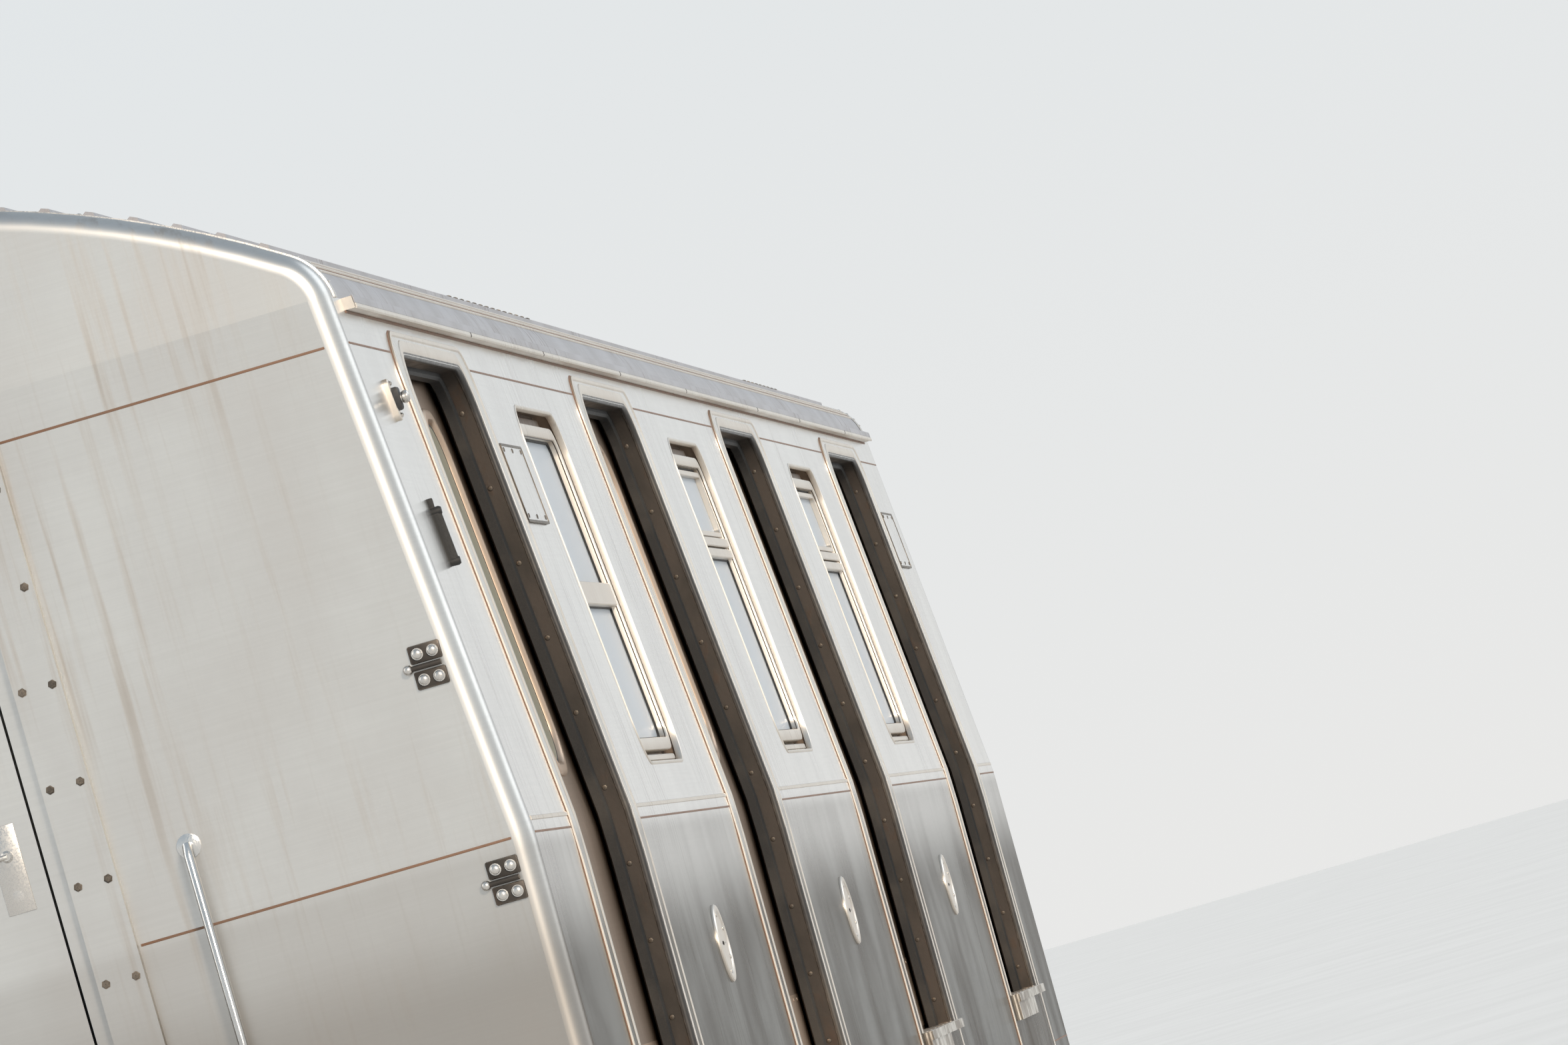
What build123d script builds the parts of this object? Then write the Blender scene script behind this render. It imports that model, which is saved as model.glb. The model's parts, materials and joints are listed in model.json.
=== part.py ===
# Sixty-foot metro car without a driving cab, on two bogies, standing on its wheels.
# X runs along the car, Y across it, Z up. The photographed side is the right side, at -Y,
# and the end nearest the photographer is the rear end, at -X.
# Heights are given above the rail head. The whole car is lifted by the flange depth when it
# is written, so that the wheel flanges stand at Z = 0.

from build123d import *
import os
from math import asin, atan, cos, radians, sin, tan

# Whole car
BODY_LENGTH = 17380.0
COUPLER_REACH = 485.0
DOORS_PER_SIDE = 4
FIRST_DOOR_FROM_END = 1832.0
BELT_HALF_WIDTH = 1467.0
FLANGE_DEPTH = 28.0

# Heights above the rail head
SKIRT_Z = 900.0
FLOOR_Z = 1157.0
BELT_Z = 1917.0
DOORWAY_TOP_Z = 3080.0
POCKET_TOP_Z = 3140.0
EAVES_Z = 3190.0
ROOF_RISE = 510.0

# Side section: the wall leans inward by a share of the height, and turns softly at the belt
LOWER_LEAN = 0.011
UPPER_LEAN = 0.084
BELT_RADIUS = 600.0

# Walls
SKIN = 70.0
POCKET = 75.0
LINING = 20.0
END_WALL = 63.0
END_CORNER_R = 48.0
GUTTER_WIDTH = 26.0
GUTTER_HEIGHT = 28.0
GUTTER_FROM_END = 250.0

# Side doorways and their raised frames
DOORWAY_WIDTH = 1470.0
DOORWAY_CORNER_R = 120.0
PORTAL_WIDTH = 1780.0
PORTAL_TOP_Z = 3132.0
PORTAL_CORNER_R = 130.0
PORTAL_PROUD = 4.0
THRESHOLD = 27.0
THRESHOLD_PROUD = 32.0
STEP_LUG_PROUD = 24.0
STEP_LUG_HEIGHT = 60.0
STEP_LUG_REACH = 175.0

# Sliding leaves
LEAF = 35.0
LEAF_MEETING_GAP = 6.0
LEAF_OVERLAP = 45.0
RUNNING_GAP = 5.0
SEAT_GAP = 0.3
LEAF_WINDOW_WIDTH = 300.0
LEAF_WINDOW_BOTTOM_Z = 2090.0
LEAF_WINDOW_TOP_Z = 2960.0
LEAF_WINDOW_CORNER_R = 110.0
SHOE_LENGTH = 80.0

# Passenger windows
WINDOW_WIDTH = 1130.0
WINDOW_BOTTOM_Z = 2055.0
WINDOW_TOP_Z = 3004.0
WINDOW_CORNER_R = 110.0
WINDOW_LIP = 14.0
SASH_REBATE = 12.0
SASH_LEDGE = 33.0
SASH_STEP = 12.0
SASH_BAR = 62.0
SIGN_BAR_Z = 2483.0
VENT_BAR_Z = 2655.0
PANE = 8.0
PANE_LAP = 12.0

# Roof
ROOF_SHELL = 60.0
SHOULDER_R = 150.0
RIDGE_PITCH = 100.0
RIDGE_WIDTH = 34.0
RIDGE_HEIGHT = 12.0
ROOF_CAP_LENGTH = 130.0
HATCH_WIDTH = 2300.0
HATCH_PROUD = 14.0
HATCH_SLOT = 60.0
HATCH_SLOTS_PER_SIDE = 4
CEILING = 25.0
LIGHT_WIDTH = 130.0
LIGHT_DEPTH = 22.0
LIGHT_Y = 620.0

# End doors
END_DOORWAY_WIDTH = 800.0
END_DOORWAY_TOP_Z = 3050.0
END_DOOR = 40.0
END_DOOR_GAP = 8.0
END_DOOR_INSET = 10.0
END_PANE_WIDTH = 420.0
END_PANE_HEIGHT = 780.0
END_PANE_Z = 2450.0
HINGE_R = 12.0
COLLISION_POST_WIDTH = 110.0
COLLISION_POST_PROUD = 34.0
COLLISION_POST_FROM_DOORWAY = 40.0

# Floor and underframe
DECK = 127.0
CROSS_BEARER_WIDTH = 70.0
CENTRE_SILL_HALF_WIDTH = 200.0
BODY_BOLSTER_LENGTH = 420.0
JACK_PAD = 180.0
JACK_PAD_DEPTH = 20.0

# Ends below the floor
END_SILL_LENGTH = 300.0
ANTICLIMBER_WIDTH = 1500.0
ANTICLIMBER_PROUD = 95.0
ANTICLIMBER_RIBS = 4
ANTICLIMBER_FOOT_Z = 920.0
ANTICLIMBER_TOP_Z = 1100.0
ANTICLIMBER_RIB = 16.0
COUPLER_Z = 760.0
COUPLER_PIVOT_FROM_END = 300.0
ANCHOR_HALF_WIDTH = 150.0
ANCHOR_PLATE = 40.0
ANCHOR_LENGTH = 230.0
COUPLER_EYE_R = 80.0
COUPLER_PIN_R = 42.0
COUPLER_EYE_HEIGHT = 90.0
COUPLER_BAR_WIDTH = 96.0
COUPLER_HEAD_WIDTH = 260.0
COUPLER_HEAD_HEIGHT = 220.0
COUPLER_HEAD_LENGTH = 90.0
COUPLER_BORE_R = 30.0
RUNNING_FIT = 0.1

# Bogies
BOGIE_FROM_END = 1895.0
BOGIE_WHEELBASE = 2083.0
WHEEL_DIAMETER = 864.0
WHEEL_BACK_TO_BACK = 1359.0
TYRE_WIDTH = 133.0
FLANGE_WIDTH = 32.0
AXLE_R = 82.0
JOURNAL_R = 62.0
JOURNAL_Y = 1000.0
AXLE_BOX_WIDTH = 130.0
AXLE_BOX_COVER = 24.0
SIDE_FRAME_WIDTH = 130.0
FRAME_END_FROM_AXLE = 300.0
FRAME_HIGH_Z = 620.0
FRAME_HIGH_DEPTH = 120.0
FRAME_LOW_Z = 440.0
FRAME_LOW_DEPTH = 170.0
FRAME_BENDS = (460.0, 690.0)
FRAME_BEND_SHIFT = 25.0
TRANSOM_X = 240.0
TRANSOM_HALF = 70.0
COIL_R = 62.0
COIL_SIDES = 8
COIL_FROM_AXLE = 205.0
COIL_FOOT_Z = 400.0
BOLSTER_TOP_Z = 860.0
BOLSTER_DEPTH = 100.0
BOLSTER_WIDTH = 330.0
CENTRE_PLATE_R = 190.0
AIR_SPRING_R = 220.0
MOTOR_R = 215.0
MOTOR_SIDES = 10
MOTOR_HALF_LENGTH = 300.0
MOTOR_FROM_AXLE = 470.0
MOTOR_RISE = 20.0
MOTOR_NECK = 200.0
MOTOR_LUG_Y = 190.0
MOTOR_LUG = 50.0
MOTOR_LUG_X = 350.0
GEAR_CASE_Y = (330.0, 520.0)
BRAKE_GAP = 8.0
BRAKE_SHOE = 46.0
BRAKE_HALF_HEIGHT = 110.0


# Side section of the body

def skin_y(z, inset=0.0):
    """Half width of the wall's outer face at a height, less an inset."""
    lean = LOWER_LEAN if z < BELT_Z else UPPER_LEAN
    return BELT_HALF_WIDTH - lean * abs(z - BELT_Z) - inset


def face_edges(z0, z1, inset):
    """Edges of one wall face from z0 up to z1, with the soft turn at the belt."""
    start = (skin_y(z0, inset), z0)
    end = (skin_y(z1, inset), z1)
    if z0 >= BELT_Z or z1 <= BELT_Z:
        return [Line(start, end)]
    turn = atan(LOWER_LEAN) + atan(UPPER_LEAN)
    reach = BELT_RADIUS * tan(turn / 2)
    sag = BELT_RADIUS * (1 / cos(turn / 2) - 1)
    low = (skin_y(BELT_Z - reach, inset), BELT_Z - reach)
    high = (skin_y(BELT_Z + reach, inset), BELT_Z + reach)
    middle = (BELT_HALF_WIDTH - inset - sag, BELT_Z)
    return [Line(start, low), ThreePointArc(low, middle, high), Line(high, end)]


def band(z0, z1, outer, inner, x0, x1):
    """A piece of side wall at +Y between two insets, two heights and two places along the car."""
    out_edges = face_edges(z0, z1, outer)
    in_edges = face_edges(z0, z1, inner)
    top = Line((skin_y(z1, outer), z1), (skin_y(z1, inner), z1))
    foot = Line((skin_y(z0, outer), z0), (skin_y(z0, inner), z0))
    section = Plane.YZ * make_face([*out_edges, *in_edges, top, foot])
    return Pos(x0, 0, 0) * extrude(section, amount=x1 - x0, dir=(1, 0, 0))


def block(x0, x1, y0, y1, z0, z1):
    """A box from its two corners."""
    return Pos((x0 + x1) / 2, (y0 + y1) / 2, (z0 + z1) / 2) * Box(x1 - x0, y1 - y0, z1 - z0)


def opening_prism(x, z0, z1, width, radius):
    """A rounded opening's prism, running across the whole car."""
    sketch = Plane.XZ * Pos(x, (z0 + z1) / 2) * RectangleRounded(width, z1 - z0, radius)
    return extrude(sketch, amount=2 * BELT_HALF_WIDTH, both=True)


def arch_prism(x, z0, z1, width, radius):
    """The same with square lower corners, as a doorway has."""
    outline = Pos(x, (z0 + z1) / 2) * Rectangle(width, z1 - z0)
    upper = outline.vertices().filter_by_position(Axis.Y, z1 - 1, z1 + 1)
    return extrude(Plane.XZ * fillet(upper, radius), amount=2 * BELT_HALF_WIDTH, both=True)


def cylinder_y(x, z, radius, y0, y1):
    """A round bar across the car."""
    return Pos(x, (y0 + y1) / 2, z) * Rot(90, 0, 0) * Cylinder(radius, y1 - y0)


def cylinder_x(y, z, radius, x0, x1):
    """A round bar along the car."""
    return Pos((x0 + x1) / 2, y, z) * Rot(0, 90, 0) * Cylinder(radius, x1 - x0)


def post(x, y, radius, z0, z1):
    """An upright round bar."""
    return Pos(x, y, (z0 + z1) / 2) * Cylinder(radius, z1 - z0)


def on_right(pieces):
    """The same pieces on the other side of the car."""
    return [mirror(piece, about=Plane.XZ) for piece in pieces]


def at_rear(pieces):
    """The same pieces at the other end of the car."""
    return [mirror(piece, about=Plane.YZ) for piece in pieces]


def write(name, pieces):
    """One STEP file for each node, lifted so that the wheel flanges stand at zero."""
    solids = [solid for piece in pieces for solid in piece.solids()]
    lifted = [Pos(0, 0, FLANGE_DEPTH) * solid for solid in solids]
    shape = lifted[0] if len(lifted) == 1 else Compound(children=lifted)
    shape.label = name
    export_step(shape, os.path.join("parts", name + ".step"))


# Places worked out from the driving dimensions

BODY_END_X = BODY_LENGTH / 2
SHEET_END_X = BODY_END_X - END_WALL
ROOF_TOP_Z = EAVES_Z + ROOF_RISE
DOOR_PITCH = (BODY_LENGTH - 2 * FIRST_DOOR_FROM_END) / (DOORS_PER_SIDE - 1)
DOOR_X = [(i - (DOORS_PER_SIDE - 1) / 2) * DOOR_PITCH for i in range(DOORS_PER_SIDE)]
WINDOW_X = [(a + b) / 2 for a, b in zip(DOOR_X, DOOR_X[1:])]
CROSS_BEARER_PITCH = DOOR_PITCH / 4
WALL = SKIN + POCKET + LINING
LEAF_INSET = SKIN + (POCKET - LEAF) / 2
DECK_BOTTOM_Z = FLOOR_Z - DECK
THRESHOLD_FOOT_Z = FLOOR_Z - THRESHOLD
WHEEL_R = WHEEL_DIAMETER / 2
AXLE_X = BOGIE_WHEELBASE / 2
BOGIE_X = BODY_END_X - BOGIE_FROM_END
SIDE_FRAME_Y0 = JOURNAL_Y - SIDE_FRAME_WIDTH / 2
SIDE_FRAME_Y1 = JOURNAL_Y + SIDE_FRAME_WIDTH / 2
TRANSOM_Z = FRAME_LOW_Z + FRAME_LOW_DEPTH / 2
COUPLER_FACE_X = BODY_END_X + COUPLER_REACH
COUPLER_PIVOT_X = BODY_END_X - COUPLER_PIVOT_FROM_END

# middle of each roof hatch, length
ROOF_HATCHES = [
    (-1950.0, 2300.0),
    (BODY_END_X - 1000.0, 1500.0),
]


def panel_spans(edge):
    """Stretches of side wall between the door frames, each edge a distance from a door's middle."""
    spans = [(-SHEET_END_X, DOOR_X[0] - edge)]
    spans += [(a + edge, b - edge) for a, b in zip(DOOR_X, DOOR_X[1:])]
    spans.append((DOOR_X[-1] + edge, SHEET_END_X))
    return spans


def portal_prism(x):
    """The raised doorway frame's outline."""
    return arch_prism(x, SKIRT_Z - 1, PORTAL_TOP_Z, PORTAL_WIDTH, PORTAL_CORNER_R)


def window_box(x, margin, outer, inner):
    """The part of the wall inside a window's outline less a margin, between two insets."""
    half = WINDOW_WIDTH / 2 - margin
    return band(WINDOW_BOTTOM_Z + margin, WINDOW_TOP_Z - margin, outer, inner, x - half, x + half)


# Side walls

def side_panels():
    """The whole outer side, with rounded window openings rebated behind for the sashes."""
    panel = band(SKIRT_Z, EAVES_Z, 0, SKIN, -SHEET_END_X, SHEET_END_X)
    for x in DOOR_X:
        panel -= portal_prism(x)
    for x in WINDOW_X:
        panel -= opening_prism(x, WINDOW_BOTTOM_Z, WINDOW_TOP_Z, WINDOW_WIDTH, WINDOW_CORNER_R)
        panel -= window_box(x, -SASH_REBATE, WINDOW_LIP, SKIN + 1)
    return [panel]


def wall_linings():
    pieces = []
    for x0, x1 in panel_spans(DOORWAY_WIDTH / 2):
        lining = band(FLOOR_Z, DOORWAY_TOP_Z, SKIN + POCKET, WALL, x0, x1)
        for x in WINDOW_X:
            if x0 < x < x1:
                lining -= window_box(x, -SASH_REBATE, SKIN, WALL + 1)
        pieces.append(lining)
    return pieces


def door_frames():
    pieces = []
    for x in DOOR_X:
        half = PORTAL_WIDTH / 2
        plate = band(SKIRT_Z, PORTAL_TOP_Z, -PORTAL_PROUD, SKIN, x - half, x + half)
        doorway = arch_prism(x, THRESHOLD_FOOT_Z, DOORWAY_TOP_Z, DOORWAY_WIDTH, DOORWAY_CORNER_R)
        pieces.append((plate & portal_prism(x)) - doorway)
    return pieces


def cant_rail():
    """The beam over the doors with its hanging lip, and the gutter outside the panel."""
    rail = band(POCKET_TOP_Z, EAVES_Z, SKIN, WALL, -SHEET_END_X, SHEET_END_X)
    rail += band(DOORWAY_TOP_Z, POCKET_TOP_Z, SKIN + POCKET, WALL, -SHEET_END_X, SHEET_END_X)
    gutter_end = BODY_END_X - GUTTER_FROM_END
    gutter = band(EAVES_Z - GUTTER_HEIGHT, EAVES_Z, -GUTTER_WIDTH, 0, -gutter_end, gutter_end)
    return [rail, gutter]


def thresholds():
    """Door sills, each on a lug that stands out under its rear part."""
    half = DOORWAY_WIDTH / 2
    outer = skin_y(FLOOR_Z, -THRESHOLD_PROUD)
    inner = skin_y(FLOOR_Z, WALL)
    lug_z = THRESHOLD_FOOT_Z - STEP_LUG_HEIGHT
    pieces = []
    for x in DOOR_X:
        plate = block(x - half, x + half, inner, outer, THRESHOLD_FOOT_Z, FLOOR_Z)
        lug = band(lug_z, THRESHOLD_FOOT_Z, -STEP_LUG_PROUD, -PORTAL_PROUD, x - half, x + STEP_LUG_REACH)
        pieces.append(plate + lug)
    return pieces


# Passenger windows: a stepped sash that closes the wall's whole thickness, with one bar across

def window_bar_z(x):
    return SIGN_BAR_Z if x == WINDOW_X[0] else VENT_BAR_Z


def window_frames():
    pieces = []
    outer_ledge = WINDOW_LIP + SASH_STEP
    inner_ledge = outer_ledge + SASH_STEP
    for x in WINDOW_X:
        sash = window_box(x, -SASH_REBATE, WINDOW_LIP, WALL)
        sash -= window_box(x, SASH_LEDGE, 0, outer_ledge)
        sash -= window_box(x, 2 * SASH_LEDGE, 0, inner_ledge)
        sash -= window_box(x, 2 * SASH_LEDGE - PANE_LAP, inner_ledge, WALL + 1)
        half = WINDOW_WIDTH / 2 - SASH_LEDGE
        bar_z = window_bar_z(x)
        sash += band(bar_z, bar_z + SASH_BAR, outer_ledge, inner_ledge, x - half, x + half)
        pieces.append(sash)
    return pieces


def window_panes():
    pieces = []
    inset = WINDOW_LIP + 2 * SASH_STEP
    margin = 2 * SASH_LEDGE - PANE_LAP
    half = WINDOW_WIDTH / 2 - margin
    for x in WINDOW_X:
        bar_z = window_bar_z(x)
        pane_spans = (
            (WINDOW_BOTTOM_Z + margin, bar_z + PANE_LAP),
            (bar_z + SASH_BAR - PANE_LAP, WINDOW_TOP_Z - margin),
        )
        for z0, z1 in pane_spans:
            pieces.append(band(z0, z1, inset, inset + PANE, x - half, x + half))
    return pieces


# Door leaves, all slid one way together

def leaf_span(x, way):
    near = x + way * LEAF_MEETING_GAP / 2
    far = x + way * (DOORWAY_WIDTH / 2 + LEAF_OVERLAP)
    return min(near, far), max(near, far)


def leaf_window_middle(x, way):
    return x + way * DOORWAY_WIDTH / 4


def door_leaves(way):
    """Leaves with a rounded window, each running on two shoes."""
    pieces = []
    foot = FLOOR_Z + RUNNING_GAP
    inner = LEAF_INSET + LEAF
    for x in DOOR_X:
        x0, x1 = leaf_span(x, way)
        leaf = band(foot, DOORWAY_TOP_Z + RUNNING_GAP, LEAF_INSET, inner, x0, x1)
        leaf -= opening_prism(
            leaf_window_middle(x, way),
            LEAF_WINDOW_BOTTOM_Z,
            LEAF_WINDOW_TOP_Z,
            LEAF_WINDOW_WIDTH,
            LEAF_WINDOW_CORNER_R,
        )
        for shoe_x in (x0 + SHOE_LENGTH, x1 - SHOE_LENGTH):
            half = SHOE_LENGTH / 2
            leaf += band(FLOOR_Z + SEAT_GAP, foot, LEAF_INSET, inner, shoe_x - half, shoe_x + half)
        pieces.append(leaf)
    return pieces


def leaf_panes(way):
    """Panes fixed to the leaves' inner faces."""
    pieces = []
    inset = LEAF_INSET + LEAF
    half = LEAF_WINDOW_WIDTH / 2 + PANE_LAP
    z0 = LEAF_WINDOW_BOTTOM_Z - PANE_LAP
    z1 = LEAF_WINDOW_TOP_Z + PANE_LAP
    for x in DOOR_X:
        middle = leaf_window_middle(x, way)
        pieces.append(band(z0, z1, inset, inset + PANE, middle - half, middle + half))
    return pieces


# Roof

def crown_radius(top_z):
    """Radius of the crown arc that leaves the shoulder arcs smoothly and peaks at top_z."""
    across, up = shoulder_centre()
    drop = top_z - up
    return (across ** 2 + drop ** 2 - SHOULDER_R ** 2) / (2 * (drop - SHOULDER_R))


def shoulder_centre():
    lean = atan(UPPER_LEAN)
    return skin_y(EAVES_Z) - SHOULDER_R * cos(lean), EAVES_Z - SHOULDER_R * sin(lean)


CROWN_TOP_Z = ROOF_TOP_Z - max(RIDGE_HEIGHT, HATCH_PROUD)
CROWN_R = crown_radius(CROWN_TOP_Z)
CROWN_CENTRE_Z = CROWN_TOP_Z - CROWN_R
CROWN_HALF_ANGLE = asin(shoulder_centre()[0] / (CROWN_R - SHOULDER_R))


def crown_point(angle, proud=0.0):
    radius = CROWN_R + proud
    return radius * sin(angle), CROWN_CENTRE_Z + radius * cos(angle)


def roof_half_edges(proud, foot_z):
    """Half of a smooth roof line from the eaves to the crown, proud of the shell or inside it."""
    across, up = shoulder_centre()
    radius = SHOULDER_R + proud
    start_angle = asin((foot_z - up) / radius)
    end_angle = radians(90) - CROWN_HALF_ANGLE
    middle_angle = (start_angle + end_angle) / 2
    start, middle, end = [
        (across + radius * cos(a), up + radius * sin(a)) for a in (start_angle, middle_angle, end_angle)
    ]
    crown = ThreePointArc(
        crown_point(CROWN_HALF_ANGLE, proud),
        crown_point(CROWN_HALF_ANGLE / 2, proud),
        crown_point(0, proud),
    )
    return start, [ThreePointArc(start, middle, end), crown]


def both_halves(edges):
    return [*edges, *[mirror(edge, about=Plane.YZ) for edge in edges]]


def roof_section(proud, inner_proud):
    """The closed section between two smooth roof lines."""
    outer_start, outer = roof_half_edges(proud, EAVES_Z)
    inner_start, inner = roof_half_edges(inner_proud, EAVES_Z)
    edges = both_halves([*outer, *inner, Line(outer_start, inner_start)])
    return Plane.YZ * make_face(edges)


def roof_ridges():
    """Sections of the small upstanding ribs along the crown."""
    count = int((CROWN_HALF_ANGLE * CROWN_R) // RIDGE_PITCH)
    half_foot = RIDGE_WIDTH / 2 / CROWN_R
    half_top = half_foot / 2
    sunk = -1.0
    faces = []
    for i in range(-count, count + 1):
        angle = i * RIDGE_PITCH / CROWN_R
        corners = [
            crown_point(angle - half_foot, sunk),
            crown_point(angle + half_foot, sunk),
            crown_point(angle + half_top, RIDGE_HEIGHT),
            crown_point(angle - half_top, RIDGE_HEIGHT),
        ]
        faces.append(Plane.YZ * make_face(Polyline(*corners, close=True)))
    return faces


def hatch_box(x, length):
    half = length / 2
    half_width = HATCH_WIDTH / 2
    return block(x - half, x + half, -half_width, half_width, EAVES_Z, ROOF_TOP_Z + 1)


def roof_shell():
    half = BODY_END_X - ROOF_CAP_LENGTH
    shell = extrude(roof_section(0, -ROOF_SHELL), amount=half, both=True)
    for face in roof_ridges():
        shell += extrude(face, amount=half, both=True)
    for x, length in ROOF_HATCHES:
        shell -= hatch_box(x, length)
    return [shell]


def roof_hatches():
    """Two air-conditioning hatches over the whole crown, with long slots on each side."""
    pieces = []
    for x, length in ROOF_HATCHES:
        plate = extrude(roof_section(HATCH_PROUD, -ROOF_SHELL), amount=length / 2, both=True)
        plate = (Pos(x, 0, 0) * plate) & hatch_box(x, length)
        pitch = HATCH_WIDTH / 2 / (HATCH_SLOTS_PER_SIDE + 1)
        slot_half = length * 0.35
        for i in range(1, HATCH_SLOTS_PER_SIDE + 1):
            for y in (-i * pitch, i * pitch):
                floor_z = crown_point(asin(y / CROWN_R))[1] - ROOF_SHELL / 2
                plate -= block(x - slot_half, x + slot_half, y - HATCH_SLOT / 2, y + HATCH_SLOT / 2,
                               floor_z, ROOF_TOP_Z + 1)
        pieces.append(plate)
    return pieces


def roof_end_cap():
    """The roof's end, eased over its whole rim and closed by a bulkhead above the end wall."""
    start = BODY_END_X - ROOF_CAP_LENGTH
    outer_start, outer = roof_half_edges(0, EAVES_Z)
    full = Plane.YZ * make_face(both_halves([*outer, Line(outer_start, (0, EAVES_Z))]))
    cap = Pos(start, 0, 0) * extrude(full, amount=ROOF_CAP_LENGTH, dir=(1, 0, 0))
    inner_start, inner = roof_half_edges(-ROOF_SHELL, EAVES_Z)
    hollow = Plane.YZ * make_face(both_halves([*inner, Line(inner_start, (0, EAVES_Z))]))
    cap -= Pos(start, 0, 0) * extrude(hollow, amount=ROOF_CAP_LENGTH - END_WALL, dir=(1, 0, 0))
    end_edges = cap.edges().filter_by_position(Axis.X, BODY_END_X - 1, BODY_END_X + 1)
    rim = [edge for edge in end_edges if edge.center().Z > EAVES_Z + 1]
    return [chamfer(rim, END_CORNER_R * 0.6)]


def ceiling():
    half_y = skin_y(EAVES_Z, WALL - 2 * LINING)
    return [block(-SHEET_END_X, SHEET_END_X, -half_y, half_y, EAVES_Z, EAVES_Z + CEILING)]


def ceiling_lights():
    pieces = []
    stops = [LINING - SHEET_END_X, *DOOR_X, SHEET_END_X - LINING]
    for y in (-LIGHT_Y, LIGHT_Y):
        y0, y1 = y - LIGHT_WIDTH / 2, y + LIGHT_WIDTH / 2
        for x0, x1 in zip(stops, stops[1:]):
            pieces.append(block(x0 + LINING, x1 - LINING, y0, y1, EAVES_Z - LIGHT_DEPTH, EAVES_Z))
    return pieces


# Ends of the body

HINGE_X = SHEET_END_X - HINGE_R - 1
HINGE_Y = END_DOORWAY_WIDTH / 2 - END_DOOR_GAP
HINGE_FOOT_Z = FLOOR_Z + 200
HINGE_MIDDLE_Z = (FLOOR_Z + END_DOORWAY_TOP_Z) / 2
HINGE_TOP_Z = END_DOORWAY_TOP_Z - 200


def end_wall():
    """End wall at +X with rounded outer corners, a doorway, two collision posts and a hinge."""
    edges = face_edges(SKIRT_Z, EAVES_Z, 0)
    top = Line((skin_y(EAVES_Z), EAVES_Z), (0, EAVES_Z))
    foot = Line((skin_y(SKIRT_Z), SKIRT_Z), (0, SKIRT_Z))
    section = Plane.YZ * make_face(both_halves([*edges, top, foot]))
    wall = Pos(SHEET_END_X, 0, 0) * extrude(section, amount=END_WALL, dir=(1, 0, 0))
    end_edges = wall.edges().filter_by_position(Axis.X, BODY_END_X - 1, BODY_END_X + 1)
    corner_edges = [edge for edge in end_edges if abs(edge.center().Y) > END_DOORWAY_WIDTH]
    wall = fillet(corner_edges, END_CORNER_R)
    half = END_DOORWAY_WIDTH / 2
    wall -= block(SHEET_END_X - 1, BODY_END_X + 1, -half, half, FLOOR_Z, END_DOORWAY_TOP_Z)
    near = half + COLLISION_POST_FROM_DOORWAY
    far = near + COLLISION_POST_WIDTH
    for y0, y1 in ((near, far), (-far, -near)):
        post_x1 = BODY_END_X + COLLISION_POST_PROUD
        wall += block(BODY_END_X, post_x1, y0, y1, ANTICLIMBER_TOP_Z, DOORWAY_TOP_Z)
    hinge_top = HINGE_MIDDLE_Z - SEAT_GAP
    tongue_x1 = SHEET_END_X + END_DOOR_INSET / 2
    y0 = HINGE_Y + END_DOOR_GAP
    wall += post(HINGE_X, HINGE_Y, HINGE_R, HINGE_FOOT_Z, hinge_top)
    wall += block(HINGE_X, tongue_x1, y0, y0 + 2 * END_DOOR_GAP, HINGE_FOOT_Z, hinge_top)
    return [wall]


END_DOOR_X = SHEET_END_X + END_DOOR_INSET


def end_door():
    """The end door's leaf, with a lift-off hinge that rests on the wall's half."""
    half = END_DOORWAY_WIDTH / 2 - END_DOOR_GAP
    leaf = block(END_DOOR_X, END_DOOR_X + END_DOOR, -half, half, FLOOR_Z + RUNNING_GAP,
                 END_DOORWAY_TOP_Z - END_DOOR_GAP)
    opening = RectangleRounded(END_PANE_WIDTH, END_PANE_HEIGHT, WINDOW_CORNER_R)
    leaf -= extrude(Plane.YZ * Pos(0, END_PANE_Z) * opening, amount=2 * BODY_END_X)
    leaf += post(HINGE_X, HINGE_Y, HINGE_R, HINGE_MIDDLE_Z, HINGE_TOP_Z)
    leaf += block(HINGE_X, END_DOOR_X + 1, HINGE_Y - HINGE_R, HINGE_Y, HINGE_MIDDLE_Z, HINGE_TOP_Z)
    return [leaf]


def end_door_pane():
    half_width = END_PANE_WIDTH / 2 + PANE_LAP
    half_height = END_PANE_HEIGHT / 2 + PANE_LAP
    return [block(END_DOOR_X - PANE, END_DOOR_X, -half_width, half_width,
                  END_PANE_Z - half_height, END_PANE_Z + half_height)]


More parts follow.
